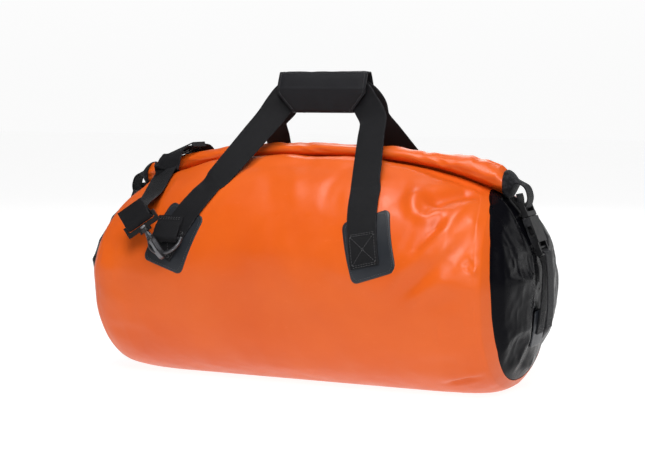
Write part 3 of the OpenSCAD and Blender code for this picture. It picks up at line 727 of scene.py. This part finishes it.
def build_body():
    n = 264
    t = crowded(231, 0.96)
    xs = SEAM_X*t
    a0 = np.arccos(lip(xs)/(BODY_W/2*ek(xs)))
    f = np.linspace(0, 1, n)
    ang = a0[:, None] - (np.pi + 2*a0[:, None])*f[None, :]
    q = t[:, None]*seam(ang)
    p = skin(np.clip(q, -SEAM_X, SEAM_X), ang)
    far = np.abs(q) > SEAM_X
    end = end_ring(fraction(np.abs(q)), ang)
    end[..., 0] *= np.where(q > 0, 1, -1)
    p = np.where(far[..., None], end, p)
    nor = facing(normals(p), p - (0, 0, CAP_Z))
    hem = (1 - np.abs(t))[:, None]*seam(ang)
    x, y, z = p[..., 0], p[..., 1], p[..., 2]
    dent = body_dent(p)*(0.12 + 0.88*smooth(hem/22)) + (0.5 + 0.5*smooth((15 - hem)/1.8))*smooth(z/30)
    dent = np.where((np.abs(y) < 26) & (z > 200), np.minimum(dent, -0.2), dent)
    out = p + nor*dent[..., None]
    rise = np.interp(x, RISE_X, RISE)
    rise = rise*np.where(y < 0, smooth((-y - 22)/4.5)*smooth((62 + y)/32), 0)*(z > 150)
    out = out + rise[..., None]*(0, -0.25, 0.97)
    out[..., 2] = np.maximum(out[..., 2], FLOOR_GAP)
    inner = out - nor*WALL
    inner[..., 2] = np.maximum(inner[..., 2], FLOOR_GAP + WALL*0.9)
    arc = np.zeros(p.shape[:2])
    arc[:, 1:] = np.cumsum(np.linalg.norm(np.diff(p, axis=1), axis=-1), axis=1)
    arc = arc - arc[:, -1:]/2
    uv = np.stack([np.repeat(xs[:, None], n, 1), arc], -1)
    return sharp(shell("body_skin", out, inner, uv), 60)


dress(build_body(), ORANGE, "bag", "orange_tarp", "body_panel")


# ---- end panels
def end_dent(p, edge, seed):
    """Crumples of the stiff black end panel: gathers under the roll, folds from the anchor, broad facets."""
    y, z = p[..., 1], p[..., 2]
    top_a, top_r = np.arctan2(y, 266 - z), np.hypot(y, 266 - z)
    low_a, low_r = np.arctan2(y, z - 96), np.hypot(y, z - 96)
    d = 2.6*bell(top_r, 40, 70)*np.cos(top_a*8.5 + 1.6*vnoise(p, 60, seed))
    low_folds = np.cos(low_a*6 + 1.9*vnoise(p, 55, seed + 1) + 1.0)
    d = d + 1.9*bell(low_r, 60, 48)*low_folds*smooth((120 - z)/40)
    d = d + 2.4*ridged(p, 58, seed + 2) + 1.1*ridged(p, 27, seed + 3) + 0.4*ridged(p, 12, seed + 4)
    d = d + 6.0*smooth((np.abs(y) - 15)/38)*smooth((z - 30)/60)*smooth((225 - z)/50)
    d = d*smooth((1 - edge)/0.13)
    patch = np.hypot(np.maximum(np.abs(y) - 22, 0), np.maximum(np.abs(z - 81) - 24, 0))
    d = d*smooth(patch/14)
    lane = smooth((30 - np.abs(y))/10)*smooth((z - 60)/20)      # under the closure's webbing
    return np.where(lane > 0, d*(1 - lane) + np.minimum(d*0.7 - 0.6, 0)*lane, d)


def build_end(name, turned):
    m, n = 84, 240
    ang = np.linspace(0, 2*np.pi, n, endpoint=False)
    edge = fraction(seam(ang) + 0.3)
    s = np.linspace(1, 0, m)[:, None]**0.9*edge[None, :]
    s[-1] = 0.012
    angs = np.repeat(ang[None, :], m, 0)
    p = end_ring(s, angs)
    nor = facing(normals(p, True), (1, 0, 0))
    nor[-1] = (1, 0, 0)
    d = end_dent(p, s/edge[None, :], 40 if turned else 20)
    out = p + nor*d[..., None]
    out[..., 2] = np.maximum(out[..., 2], FLOOR_GAP)
    under = [end_ring(fraction(seam(ang) - x), ang) for x in (9, 1)]
    out = np.concatenate([np.array([under[0] - nor[0]*2.4, under[1] - nor[0]*2.2]), out])
    back_side = out.copy()
    back_side[2:] = out[2:] - nor*WALL
    back_side[:2] = np.array([under[0] - nor[0]*4.0, under[1] - nor[0]*4.0])
    back_side[..., 2] = np.maximum(back_side[..., 2], 1.9)
    uv = np.stack([out[..., 1], out[..., 2]], -1)
    if turned:
        out, back_side = out*TURN, back_side*TURN
    return sharp(shell(name, out, back_side, uv, True), 60)


for side, turned in SIDES:
    dress(build_end("end_" + side, turned), BLACK_TARP, "bag", "black_tarp", "end_panel_" + side)


# ---- the mouth: collar and roll
def roll_h(x):
    """Half height of the roll at station x."""
    return ROLL_RZ + ROLL_FLARE*(np.abs(x)/SEAM_X)**3


def roll_mid(x):
    return crown(x) + ROLL_GAP + roll_h(x)


COLLAR_LEN, COLLAR_IN = 62, 1.7     # depth of the collar, and how far its top runs into the roll


def build_collar(name, side):
    xs = np.linspace(-250, 250, 90)
    f = np.linspace(0, 1, 22)
    grid = np.zeros((len(xs), len(f), 3))
    for j, t in enumerate(f):
        inside = np.maximum(lip(xs) - LIP_T, WALL)
        y = inside if t < 0.8 else inside + (WALL - inside)*smooth((t - 0.8)/0.2)
        z = crown(xs) - COLLAR_LEN*(1 - t) + COLLAR_IN*t**6
        grid[:, j] = np.stack([xs, side*y, z], -1)
    grid[..., 1] += side*0.35*vnoise(grid, 18, 60 + side)*np.linspace(1, 0, len(f))[None, :]
    nor = facing(normals(grid), (0, side, 0))
    uv = np.stack([grid[..., 0], grid[..., 2]], -1)
    return shell(name, grid, grid - nor*1.1, uv)


for name, side in (("collar_front", -1), ("collar_rear", 1)):
    ob = build_collar(name, side)
    dress(ob, ORANGE, None, "orange_tarp", "mouth_collar")
    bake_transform(ob)


# Creases across the roll: station, width, height.
ROLL_CREASES = ((-62, 8, -1.9), (78, 9, -1.8), (92, 6, 1.2), (140, 7, -2.0), (226, 8, 1.6), (208, 6, -2.0),
                (-178, 9, -1.6), (-226, 8, 1.4), (-20, 12, 1.0), (20, 7, -1.2), (178, 6, 1.2))


def build_roll():
    n_x, n_a = 190, 150
    f = np.linspace(0, 1, n_a)
    a = np.radians(-90 - 360*ROLL_TURNS*f)
    x = np.repeat(ROLL_LEN*crowded(n_x, 0.93)[:, None], n_a, 1)
    ry = ROLL_RY*(1 - 0.3*f)[None, :]
    rz = roll_h(x)*(1 - 0.6*f)[None, :]
    ca, sa = np.cos(a)[None, :], np.sin(a)[None, :]
    p = np.stack([x, ry*ca + 0*x, roll_mid(x) + rz*sa], -1)
    radial = unit(np.stack([0*x, ca/ry + 0*x, sa/rz], -1))
    twist = p.copy()
    twist[..., 0] = p[..., 0] + 26*sa
    w = 1.15*vnoise(twist, 34, 11) + 0.8*ridged(twist*(1, 0.6, 0.6), 22, 12) + 0.3*vnoise(p, 11, 13)
    bunch = smooth((np.abs(x) - 120)/120)
    w = w + (0.7 + 0.9*bunch)*ridged(twist*(0.14, 1, 1), 11, 15)
    puff = 6.5*smooth((np.abs(x) - 150)/70)*smooth((259 - np.abs(x))/16)*np.maximum(sa, 0)**0.8
    puff = puff*np.where(x < -150, 0.25, 1)
    long_fold = np.sin(3*a[None, :] + x/48 + 1.2*vnoise(p, 50, 14))
    w = w + (0.5 + 1.3*bunch)*long_fold*0.75
    for cx, cw, ch in ROLL_CREASES:
        w = w + ch*bell(x - cx - 9*sa, 0, cw)*(0.6 + 0.4*ca)
    outer_turn = smooth((0.44 - f)/0.06)[None, :]
    w = w*(0.14 + 0.86*outer_turn)
    w = np.where(outer_turn > 0.5, w, np.clip(w, -0.3, 0.3))
    w = w*np.where(sa < -0.35, 0.25, 1.0)
    w = held(w, 0.0, smooth((44 - np.abs(x + 204))/10)*smooth((sa + 0.1)/0.3))
    w = np.clip(w, -3.4, 2.6) + puff*outer_turn
    out = p + radial*w[..., None]
    out[..., 2] = np.maximum(out[..., 2], crown(x) + 0.5)
    inner = out - radial*WALL*0.9
    arc = np.cumsum(np.concatenate([[0], np.linalg.norm(np.diff(p[95], axis=0), axis=1)]))
    uv = np.stack([x, np.repeat(arc[None, :], n_x, 0)], -1)
    return sharp(shell("roll_skin", out, inner, uv), 70)


dress(build_roll(), ORANGE, "roll", "orange_tarp", "roll_top")


# Rings of the sleeve: station, half width, half height, lift over the roll's middle line.
SLEEVE = ((253.5, 21.2, 17.0, 0.0), (255, 21.6, 17.4, 0.0), (258.5, 21.0, 16.4, 0.0),
          (261.5, 19.6, 12.5, 0.6), (264.5, 17.0, 7.4, 1.6), (268, 14.2, 3.4, 3.0), (271, 12.7, 1.3, 3.2))


def build_sleeve(name, turned):
    """The webbing sewn round the end of the roll, narrowing into the tab."""
    n, web_t, thin = 72, 0.9, 0.2
    rows = cr(np.array(SLEEVE), 4)
    a = np.linspace(0, 2*np.pi, n, endpoint=False)
    c, s = np.cos(a), np.sin(a)
    c, s = np.sign(c)*np.abs(c)**0.85, np.sign(s)*np.abs(s)**0.85
    out_way = np.stack([0*c, c, s], -1)[None]
    outer = np.array([np.stack([np.full(n, x), ry*c, roll_mid(min(x, ROLL_LEN)) + up + rz*s], -1)
                      for x, ry, rz, up in rows])
    outer = outer + (0.5*vnoise(outer, 9, 90))[..., None]*out_way
    inner = outer - out_way*web_t
    flat = np.abs(inner[..., 2] - outer[..., 2]) < thin
    inner[..., 2] = np.where(flat, outer[..., 2] - thin, inner[..., 2])
    uv = np.stack([np.repeat((a*16)[None], len(rows), 0), np.repeat(rows[:, :1], n, 1)], -1)
    k = TURN if turned else 1
    return sharp(shell(name, outer*k, inner*k, uv, True), 60)


for name, turned in SIDES:
    dress(build_sleeve("roll_end_sleeve_" + name, turned), WEB_NARROW, "roll", "webbing")


# ---- flat sheets on the faces of the bag
def half_row(hw, b, b0, b1, r):
    """Half width at height b of a sheet from b0 to b1 with corners of radius r."""
    e = np.maximum(0, r - np.minimum(b - b0, b1 - b))
    return hw - r + np.sqrt(np.maximum(0, r*r - e*e))


def face_point(cx, cz, lean, a, b, o):
    c, s = cos_sin(lean)
    return off_skin(cx + a*c - b*s, cz + a*s + b*c, o)


def edge_drop(c, b, b0, b1, hw, rim=1.6):
    """1 in the field of a sheet, falling to 0 over its rim."""
    inner = np.minimum(np.minimum(b - b0, b1 - b), hw*(1 - np.abs(c)))
    return np.sqrt(np.clip(1 - (1 - np.clip(inner/rim, 0, 1))**2, 0, 1))


def sheet_on_face(name, place, hw, b0, b1, r, lift, t, turn=False, n=30):
    """A die-cut sheet with a soft rim; place(a, b, o) gives the point."""
    e = (1 - np.cos(np.linspace(0, np.pi, n)))/2
    b = (b0 + (b1 - b0)*e)[:, None]
    c = -np.cos(np.linspace(0, np.pi, 22))[None, :]
    a = c*half_row(hw, b, b0, b1, r)
    b2 = b + 0*c
    rise = edge_drop(c + 0*b, b2, b0, b1, hw)
    top = place(a, b2, lift + 0.15 + (t - 0.15)*rise)
    low = place(a, b2, lift + 0*a)
    uv = np.stack([a + 0*b2, b2], -1)
    k = TURN if turn else 1
    return sharp(shell(name, top*k, low*k, uv), 80)


PATCH_HW, PATCH_HH, PATCH_R = 30, 38, 8
SEAM_HW, SEAM_HH = 26.6, 34.6       # the line of stitches inside a patch's rim


def seam_line():
    rim = []
    for q in np.radians(range(0, 361, 3)):
        c, s = math.cos(q), math.sin(q)
        scale = (abs(c)**9 + abs(s)**9)**(-1/9)
        rim.append((SEAM_HW*c*scale, SEAM_HH*s*scale))
    return np.array(rim)


for cx, cz, lean in PATCHES:
    for rear in (False, True):
        where = ("rear_" if rear else "front_") + ("left" if (cx < 0) != rear else "right")
        ob = sheet_on_face(
            "patch_piece_" + where,
            lambda a, b, o: face_point(cx, cz, lean, a, b, o + 0.12*np.sin(a/7 + b/11)),
            PATCH_HW, -PATCH_HH, PATCH_HH, PATCH_R, 0.12, 1.25, turn=rear)
        dress(ob, SLATE, "bag", "slate_tarp", "patch_" + where)
        u, v = seam_line().T
        line = face_point(cx, cz, lean, u, v, np.full(len(u), 1.42))
        up = line - face_point(cx, cz, lean, u, v, np.zeros(len(u)))
        sew("patch_seam_" + where, [(line, up)], "bag", rear, sizes=(3.0, 2.3, 0.24))


ANCHOR_Z = 84


def anchor_place(a, b, o):
    return np.stack([cap_x(a, ANCHOR_Z + b) + o, a, ANCHOR_Z + b], -1)


for name, rear in SIDES:
    ob = sheet_on_face("anchor_piece_" + name, anchor_place, 22, -26, 20, 6, 0.75, 1.25, turn=rear, n=20)
    dress(ob, SLATE, "bag", "slate_tarp", "anchor_patch_" + name)


# ---- handles
def leg_x(side, z):
    foot, lean = LEGS[side]
    return foot - (z - HINGE_Z)*math.tan(math.radians(lean))


def leg_row(side, z, lift):
    """A row of a leg's path, between the points where its two edges lie on the skin."""
    (c, s), hw = cos_sin(LEGS[side][1]), WEB_W/2
    p, q = (off_skin(leg_x(side, z) + k*c, z + k*s, lift) for k in (hw, -hw))
    return np.concatenate([(p + q)/2, unit(p - q)])


def leg_high(side, z):
    c, s = cos_sin(LEGS[side][1])
    f = (z - LEAVE_Z)/(LEG_TOP_Z - LEAVE_Z)
    y0 = leg_row(side, LEAVE_Z, WEB_LIFT)[1] - 2.6
    return np.array([leg_x(side, z), y0 + (LEG_TOP_Y - y0)*f, z, c, 0.88*s*(1 - f), s])


def leg(side):
    low = PATCHES[side][1] - 24*cos_sin(LEGS[side][1])[0]
    rows = [leg_row(side, z, 2.55) for z in (low, low + 8, 182, 194, 205)]
    rows += [leg_row(side, z, l) for z, l in ((212, 2.9), (222, 3.4), (231, 3.4), (240, 3.4), (LEAVE_Z, 3.5))]
    return rows + [leg_high(side, z) for z in (261, 276, 297, 318, LEG_TOP_Z)]


def handle_path(gx):
    flip = np.array([1, 1, 1, -1, -1, -1])
    h = GRIP_HALF
    left = [p*flip for p in leg(0)]
    right = leg(1)[::-1]
    corner_l = [(gx - h + 1, -10.5, 355, -0.68, 0, 0.73), (gx - h + 11, -4.2, 368, -0.36, 0, 0.93)]
    corner_r = [(gx + h - 11, -4.2, 368, 0.42, 0, 0.9), (gx + h - 1, -10.5, 356, 0.80, 0, 0.6)]
    middle = [(x, -1.9, GRIP_Z, 0, 0, 1) for x in (gx - h + 26, gx, gx + h - 26)]
    return np.array([*left, *corner_l, *middle, *corner_r, *right], float)


def on_strip(frames, s, a, lift):
    """Points on a webbing's outer face: s along it from its start, a across it."""
    c, u, f, along = frames
    pick = [np.array([np.interp(s, along, v[:, i]) for i in range(3)]).T for v in (c, u, f)]
    return pick[0] + pick[1]*np.asarray(a)[..., None] + pick[2]*lift, pick[2]


def box_stitch(frames, s0, s1, half, lift=1.0):
    """A sewn box with its cross and a bar at each end."""
    total = frames[3][-1]
    runs = []
    for pts in (
        [(s0, -half), (s0, half), (s1, half), (s1, -half), (s0, -half)],
        [(s0, -half), (s1, half)], [(s0, half), (s1, -half)],
        [(s0 + 2.2, -half), (s0 + 2.2, half)], [(s1 - 2.2, -half), (s1 - 2.2, half)],
    ):
        for (sa, aa), (sb, ab) in zip(pts[:-1], pts[1:]):
            k = np.linspace(0, 1, 12)
            s = sa + (sb - sa)*k
            s = np.where(s < 0, total + s, s)
            runs.append(on_strip(frames, s, aa + (ab - aa)*k, lift))
    return runs


def bar(frames, s, half, n):
    """A bar of stitches across a webbing, s along it."""
    return on_strip(frames, np.full(n, s), np.linspace(-half, half, n), 0)


def lifted(runs, way, lift):
    """Runs moved off their webbing, on its face that looks the given way."""
    out = []
    for p, n in runs:
        n = n*np.sign(n @ np.array(way, float))[:, None]
        out.append((p + n*lift, n))
    return out


for where, gx, rear in (("front", GRIP_X, False), ("rear", -GRIP_X, True)):
    ob, frames = web(
        "handle_web_" + where, handle_path(gx), WEB_W, WEB_T, 8, rear, WEB, None,
        "handle_" + where, f"handle_end_{where}_left", f"handle_end_{where}_right")
    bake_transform(ob)
    sew("handle_stitches_" + where,
        box_stitch(frames, 3.5, 40, 15.5) + box_stitch(frames, -3.5, -40, 15.5), "bag", rear)


# ---- grip
GRIP_FLAP = [(-4.85, -26.2), (-8.0, -26.5), (-11.0, -25.6), (-12.4, -18), (-13.7, -9), (-14.5, -2),
             (-14.1, 3), (-12.6, 9), (-9.6, 16.5), (-7.0, 22.4), (-5.6, 24.6), (-4.85, 25.0)]
GRIP_WRAP = [(-4.35, 25.0), (0, 25.2), (4.4, 24.9), (6.4, 22.6), (9.4, 16.5), (12.5, 9), (14.1, 3),
             (14.5, -2), (13.7, -9), (12.4, -18), (11.1, -25.4), (8.0, -26.5), (2.0, -26.6), (-4.35, -26.5)]
GRIP_SEAM = 3.4         # how far the seam runs inside the grip's edge


def build_grip(name, outline, seed):
    """Half of the padded grip: a crowned pad over its outline, with its seam."""
    prof = cr(outline, 5)
    d = unit(np.gradient(prof, axis=0))
    out_n = np.stack([d[:, 1], -d[:, 0]], -1)
    out_n = facing(out_n, prof - (0, -1.0))
    cols = np.concatenate([-np.cos(np.linspace(0, np.pi/2, 26)), np.cos(np.linspace(np.pi/2, 0, 26))[1:]])
    half = np.minimum(GRIP_HALF, 42 + (prof[:, 1] + 27)*0.839)
    x = cols[:, None]*half[None, :]
    p = np.zeros((len(cols), len(prof), 3))
    p[..., 0] = GRIP_X + x
    p[..., 1] = prof[None, :, 0]
    p[..., 2] = GRIP_Z + prof[None, :, 1]
    n3 = np.zeros_like(p)
    n3[..., 1], n3[..., 2] = out_n[None, :, 0], out_n[None, :, 1]
    s = np.concatenate([[0], np.cumsum(np.linalg.norm(np.diff(prof, axis=0), axis=1))])
    rim = np.minimum(np.minimum(s, s[-1] - s)[None, :], half[None, :]*(1 - np.abs(cols[:, None])))
    puff = 0.9*smooth((rim - 3.2)/7) - 0.35*bell(rim, GRIP_SEAM, 0.9)
    ridge = 0.8*bell(prof[:, 1], 3, 2.2)[None, :]*(np.abs(prof[:, 0]) > 5)[None, :]
    waves = 0.45*vnoise(p, 16, seed) + 0.3*vnoise(p*(1, 1, 0.35), 9, seed + 1)
    lower = smooth((-6 - prof[:, 1])/18)[None, :]
    d_out = puff + ridge + waves*smooth(rim/5) + 0.7*lower*np.sin(p[..., 0]/6.5)*smooth(rim/6)
    outer = p + n3*np.maximum(d_out, -0.4)[..., None]
    inner = p - n3*1.7
    uv = np.stack([p[..., 0], np.repeat(s[None, :], len(cols), 0)], -1)
    ob = sharp(shell(name, outer, inner, uv), 60)
    i0, i1 = np.searchsorted(s, GRIP_SEAM), np.searchsorted(s, s[-1] - GRIP_SEAM)
    line = [(outer[3:-3, row], n3[3:-3, row]) for row in (i0, i1)]
    for sign in (1, -1):
        side = GRIP_X + sign*(half - GRIP_SEAM)
        pts = np.stack([side, prof[:, 0], GRIP_Z + prof[:, 1]], -1)[i0:i1 + 1]
        line.append((pts, n3[0, i0:i1 + 1]))
    return ob, line


for name, outline, body, seed, node in (
    ("grip_back", GRIP_WRAP, "rear_handle", 70, "grip_wrap"),
    ("grip_cover", GRIP_FLAP, "flap", 80, "grip_flap"),
):
    ob, line = build_grip(name, outline, seed)
    dress(ob, GRIP_CLOTH, body, "grip_fabric", node)
    sew(name + "_seam", line, body, slot="grip_fabric", sizes=(3.0, 2.2, 0.26))


# ---- ring tabs, hooks and the shoulder strap
RING_X, RING_Z, RING_WIRE, RING_R = -153.0, 187.0, 4.5, 22.5
BAR_Z = 50.3            # from a ring's rim to the webbing bar of its hook
ring_y = -(float(fy(RING_X, RING_Z)) + 8.9)
tilt = math.radians(36)
hook_pos = np.array([RING_X, ring_y - RING_R*math.sin(tilt), RING_Z - RING_R*math.cos(tilt)])
hook_ax = unit([-0.56, -0.08, 0.83])
rear_pos = np.array([153, -hook_pos[1], hook_pos[2]])
rear_ax = unit([0.06, 0.0, -1])
bar_y = unit(np.cross(hook_ax, [0, -1, 0.3]))
bar_x = np.cross(bar_y, hook_ax)
front_bar, rear_bar = hook_pos + hook_ax*BAR_Z, rear_pos + rear_ax*BAR_Z


def rows(points, across):
    """Rows of a webbing path that lies the same way throughout."""
    return [np.concatenate([np.asarray(p, float), np.asarray(across, float)]) for p in points]


def tab_path():
    r = RING_WIRE/2 + 0.3 + 1.4
    low, high = ([off_skin(RING_X, RING_Z + z, o) for z, o in part] for part in (
        ((24, 4.9), (16, 4.9), (8, 4.9)), ((11, 9), (17, 6.9), (24, 6.9))))
    loop = [(RING_X, ring_y + y, RING_Z + z) for y, z in (
        (r - 0.2, 1), (1.6, 0.3 - r), (-1.6, 0.3 - r), (-r, 0), (1.4 - r, 3.6))]
    return np.array(rows(low + loop + high, (1, 0, 0)))


for where, rear in (("front", False), ("rear", True)):
    _, frames = web("tab_web_" + where, tab_path(), WEB_W - 2, 1.6, 6, rear, WEB, "bag", "ring_tab_" + where)
    runs = [bar(frames, frames[3][-1] - s, 15, 16) for s in (3.0, 5.4)]
    sew("tab_stitches_" + where, lifted(runs, (0, -1, 0), 0.8), "bag", rear)

# The shoulder strap in its three lengths. It splits where it meets the roll, front and rear.
SU = unit([0.93, 0, 0.36])
SPLIT_FRONT, SPLIT_REAR = np.array([-213, -38, 268.0]), np.array([-196, 42, 274.0])
front_path = np.array(
    rows([front_bar + bar_x*a + hook_ax*b for a, b in (
        (3.4, 22), (4.6, 8), (5.4, 0), (0, -5.4), (-5.4, 0), (-5.6, 11))], bar_y)
    + rows([(-203, -97, 236), (-211, -62, 253), (-213.3, -46, 262.5), SPLIT_FRONT], SU))
over_path = np.array(rows([
    SPLIT_FRONT, (-212.9, -37.2, 269.6), (-210.5, -32, 283), (-207.5, -23, 291.4), (-204, 0, 293),
    (-200.5, 23, 293.4), (-198, 34, 287), (-196.1, 41.6, 274.9), SPLIT_REAR], SU))
rear_path = []
for place, across in (
    (SPLIT_REAR, SU), ((-195.5, 52, 266), (0.95, 0, 0.3)), ((-195, 90, 244), (1, 0, 0)),
    ((-196, 129, 206), (1, 0, 0)), ((-198, 144, 170), (1, 0, 0)), ((-198, 152, 130), (1, 0, 0)),
    ((-188, 153, 92), (0.93, 0, 0.36)), ((-155, 153, 56), (0.6, 0, 0.8)), ((-100, 153, 35), (0.2, 0, 1)),
    ((-40, 153, 28), (0, 0, 1)), ((30, 153, 31), (-0.1, 0, 1)), ((90, 153, 43), (-0.35, 0, 1)),
    ((132, 155, 64), (-0.75, 0, 0.7)), ((152, 158, 90), (-0.97, 0, 0.2)),
):
    rear_path += rows([place], unit(across))
rear_path += rows([rear_bar + o for o in ((-1, 5, -9), (0, 5, 0), (0, 0, 5), (0, -5, 0), (-0.6, -4.4, -8))],
                  (-1, 0, 0))

ob, _ = web("strap_web_front", front_path, WEB_W, WEB_T, 8, False, WEB, None, "strap_front")
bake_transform(ob)
web("strap_web_over", over_path, WEB_W, WEB_T, 8, False, WEB, "roll", "strap_over")
ob, _ = web("strap_web_rear", np.array(rear_path), WEB_W, WEB_T, 8, False, WEB, None, "strap_rear")
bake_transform(ob)


# ---- end closures
PLUG = np.array([277.0, 0, 234.0])
SLANT = math.radians(22)
Z_ROLL_END = float(roll_mid(ROLL_LEN))


def down_axis(d, o):
    """A point d mm down the buckle's axis and o mm out from it."""
    s, c = math.sin(SLANT), math.cos(SLANT)
    return PLUG + np.array([d*s + o*c, 0, o*s - d*c])


def flat_path(points):
    return np.array(rows(points, (0, 1, 0)))


tab_points = [(ROLL_LEN + 0.3, 0, Z_ROLL_END + 3), (268, 0, Z_ROLL_END + 3.5), (279, 0, Z_ROLL_END - 2),
              (283.4, 0, Z_ROLL_END - 13), (282.6, 0, 236.5), (280, 0, 229.8), (275.6, 0, 229.4),
              (272, 0, 233.5), (271, 0, 241), (269, 0, 247)]
tail_points = [(309, 0, 82), (311, 0, 110), (310.5, 0, 140), down_axis(70, 5), down_axis(62.5, 3.3),
               down_axis(59.6, 0), down_axis(62.5, -3.3), down_axis(69, -3.2)]
end_points = [down_axis(69.5, -3.2), (303.4, 0, 160), (304, 0, 148), (303, 0, 125)]
end_points += [(float(cap_x(0, z)) + o, 0, z) for z, o in ((108, 4.2), (92, 3.2), (74, 3.2))]

for name, left in SIDES:
    web("roll_tab_web_" + name, flat_path(tab_points), STRAP_W, 1.6, 6, left, WEB_NARROW, "roll",
        "roll_tab_" + name)
    buckle = "buckle_" + name
    _, frames = web("tail_web_" + name, flat_path(tail_points), STRAP_W, 1.5, 6, left, WEB_NARROW, buckle,
                    "end_tail_" + name)
    runs = [bar(frames, s, 10, 12) for s in (3.0, 12.0)]
    sew("tail_stitches_" + name, lifted(runs, (1, 0, 0), 0.75), buckle, left)
    ob, frames = web("end_web_" + name, flat_path(end_points), STRAP_W, 1.5, 6, left, WEB_NARROW, None,
                     "end_strap_" + name)
    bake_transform(ob)
    total = frames[3][-1]
    runs = box_stitch(frames, total - 27, total - 4, 9.0, 0.0)
    sew("end_stitches_" + name, lifted(runs, (1, 0, 0), 0.75), "bag", left)


# ---- hard pieces that stay as the CAD has them
FINISHES = {
    "plug_": (PLASTIC, 0.5), "prong_": (PLASTIC, 0.3), "socket_": (PLASTIC, 0.9),
    "strap_slider": (PLASTIC, 0.7), "hook_frame_": (PLASTIC, 0.7), "hook_": (WIRE, 0.7),
    "gate_pin_": (STEEL, 0.15), "gate_": (WIRE, 0.35), "d_ring_": (WIRE, 0.0),
    "stiffener_strip": (STIFF, 0.2), "grip_hook_tape": (HOOKS, 0.3), "grip_loop_tape": (LOOPS, 0.3),
}       # material, and mm of rounding, by the start of the name
for name, ob in nodes.items():
    finish = next((f for start, f in FINISHES.items() if name.startswith(start)), None)
    if ob.hide_render or finish is None:
        continue
    material, round_mm = finish
    paint(ob, material)
    weld = ob.modifiers.new("weld", "WELD")
    weld.merge_threshold = 0.00001
    if round_mm:
        bevel = ob.modifiers.new("rounding", "BEVEL")
        bevel.width = round_mm/1000
        bevel.segments = 3
        bevel.limit_method = "ANGLE"
        bevel.angle_limit = math.radians(38)


# ---- studio
def floor():
    m = Mat("studio_floor")
    grain = m.noise(m.obj, 900, 2)
    base = m.mix(m.ramp(grain, 0.3, 0.7, 0, 1), (0.24, 0.24, 0.24), (0.27, 0.27, 0.27))
    m.set(Base_Color=base, Roughness=0.9, Specular_IOR_Level=0.05, Emission_Strength=0.92)
    m.b.inputs["Emission Color"].default_value = (1, 1, 1, 1)
    r = 9000
    ob = make("studio_floor", [(-r, -r, 0), (r, -r, 0), (r, r, 0), (-r, r, 0)], [(0, 1, 2, 3)])
    ob.data.materials.append(m.m)


def area(name, place, aim, size, power, size_y=None):
    light = bpy.data.lights.new(name, "AREA")
    light.shape = "RECTANGLE"
    light.size, light.size_y = size, size_y or size
    light.energy = power
    ob = bpy.data.objects.new(name, light)
    bpy.context.scene.collection.objects.link(ob)
    ob.location = place
    ob.rotation_mode = "QUATERNION"
    ob.rotation_quaternion = (Vector(aim) - Vector(place)).to_track_quat("-Z", "Y")


def sky():
    """White round the horizon, dimmer overhead and on the right and front, so that gloss has depth."""
    world = bpy.data.worlds.new("studio")
    bpy.context.scene.world = world
    t = Tree(world)
    x, y, z = t.xyz(t.node("TexCoord").outputs["Generated"])

    def fade(axis, *stops):
        return t.ramp(axis, *stops, how="SMOOTHSTEP")

    band = t.times(fade(z, 0.07, 0.26, 0.98, 0.10), fade(z, -0.01, 0.09, 0.98, 1.0))
    shade = t.times(fade(x, 0.0, 0.45, 1.0, 0.22), fade(y, -0.45, 0.15, 0.45, 1.0))
    shade = t.math("MAXIMUM", shade, fade(z, 0.04, 0.14, 1.0, 0.0))
    bg = t.node("Background")
    bg.inputs["Color"].default_value = (1, 1, 1, 1)
    t.link(t.times(band, shade), bg.inputs["Strength"])
    t.link(bg.outputs[0], t.node("OutputWorld").inputs[0])


floor()
sky()
area("key", (0.9, -1.8, 1.7), (0, 0, 0.15), 1.0, 34)
area("top", (0.1, -0.35, 2.2), (0, 0, 0.2), 0.9, 31)
area("back_right", (1.5, 1.7, 0.8), (0.3, 0, 0.15), 0.35, 3.5, 1.3)
area("rear", (-0.7, 2.2, 1.5), (0, 0, 0.15), 1.2, 18)
bpy.context.scene.view_settings.view_transform = "Standard"
bpy.context.scene.view_settings.look = "None"
bpy.context.scene.view_settings.exposure = 0.0
